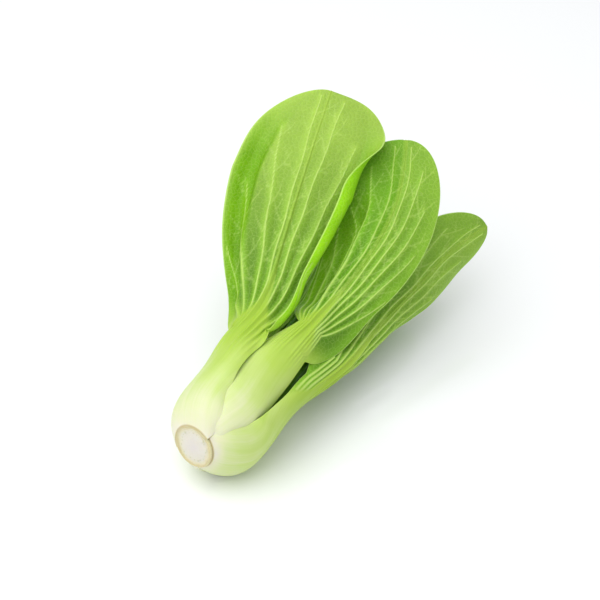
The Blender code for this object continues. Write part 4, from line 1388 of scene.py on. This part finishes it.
def vein_end_material():
    material, tree, skin = new_material("vein end")
    clouds = object_mottle(tree, 0.002, 2.0)["Clouds"]
    colour = blend_colours(tree, clouds, (0.70, 0.69, 0.52), (0.66, 0.64, 0.44))
    plug(tree, skin, {"Base Color": colour, "Roughness": 0.4})
    return material


def make_vein_ends():
    piece = new_object("vein_ends", bpy.data.meshes.new("vein_ends"))
    apply_tree(piece, vein_ends_tree(), {"Material": vein_end_material()})
    turn = Matrix((SIDEWAYS, UPWARD, -ALONG)).transposed().to_4x4()
    face = Vector(FOOT_CENTRE + ALONG * VEIN_ENDS_STEP)
    piece.data.transform(Matrix.Translation(face) @ turn)
    piece.data.shade_smooth()
    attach(piece, "root")
    return piece


vein_ends = make_vein_ends()
print(vein_ends.name, len(vein_ends.data.polygons), "faces")

# %% [markdown]
# ## Floor and light
#
# The head lies on a smooth white table in a white tent: light from all around, and a large soft lamp
# from the upper left. The world gives the even light, and one area lamp gives the shading its
# direction.

# %% Floor
FLOOR_REACH = 3.0
FLOOR_WHITES = ((0.95, 0.965, 0.98), (0.96, 0.975, 0.985))


def make_floor():
    mesh = bpy.data.meshes.new("floor")
    corners = [(x * FLOOR_REACH, y * FLOOR_REACH, 0) for x, y in ((-1, -1), (1, -1), (1, 1), (-1, 1))]
    mesh.from_pydata(corners, [], [(0, 1, 2, 3)])
    material, tree, skin = new_material("table")
    colour = blend_colours(tree, object_mottle(tree, 0.25, 9.0)["Clouds"], *FLOOR_WHITES)
    plug(tree, skin, {"Base Color": colour, "Roughness": 0.10})
    mesh.materials.append(material)
    floor = new_object("floor", mesh)
    return floor


floor = make_floor()
print("floor at", floor.location.z)

# %% Light
WORLD_STRENGTH = 0.74
LAMP_AZIMUTH = radians(-15)
LAMP_ELEVATION = radians(64)
LAMP_DISTANCE = 0.9
LAMP_SIZE = 1.40
LAMP_POWER = 7.2


def light_scene():
    world = bpy.data.worlds.new("white tent")
    world.use_nodes = True
    background = world.node_tree.nodes["Background"]
    background.inputs["Color"].default_value = (1.0, 1.0, 1.0, 1.0)
    background.inputs["Strength"].default_value = WORLD_STRENGTH
    bpy.context.scene.world = world
    lamp = new_object("soft lamp", bpy.data.lights.new("soft lamp", "AREA"))
    lamp.data.shape = "DISK"
    lamp.data.size = LAMP_SIZE
    lamp.data.energy = LAMP_POWER
    azimuth, elevation = LAMP_AZIMUTH, LAMP_ELEVATION
    away = Vector((sin(azimuth) * cos(elevation), -cos(azimuth) * cos(elevation), sin(elevation)))
    target = (Vector(CAD_BOX[0]) + Vector(CAD_BOX[1])) / 2
    lamp.location = target + away * LAMP_DISTANCE
    lamp.rotation_euler = away.to_track_quat("Z", "Y").to_euler()
    bpy.context.scene.view_settings.view_transform = "Standard"


light_scene()
print("world strength", WORLD_STRENGTH, "and lamp power", LAMP_POWER)
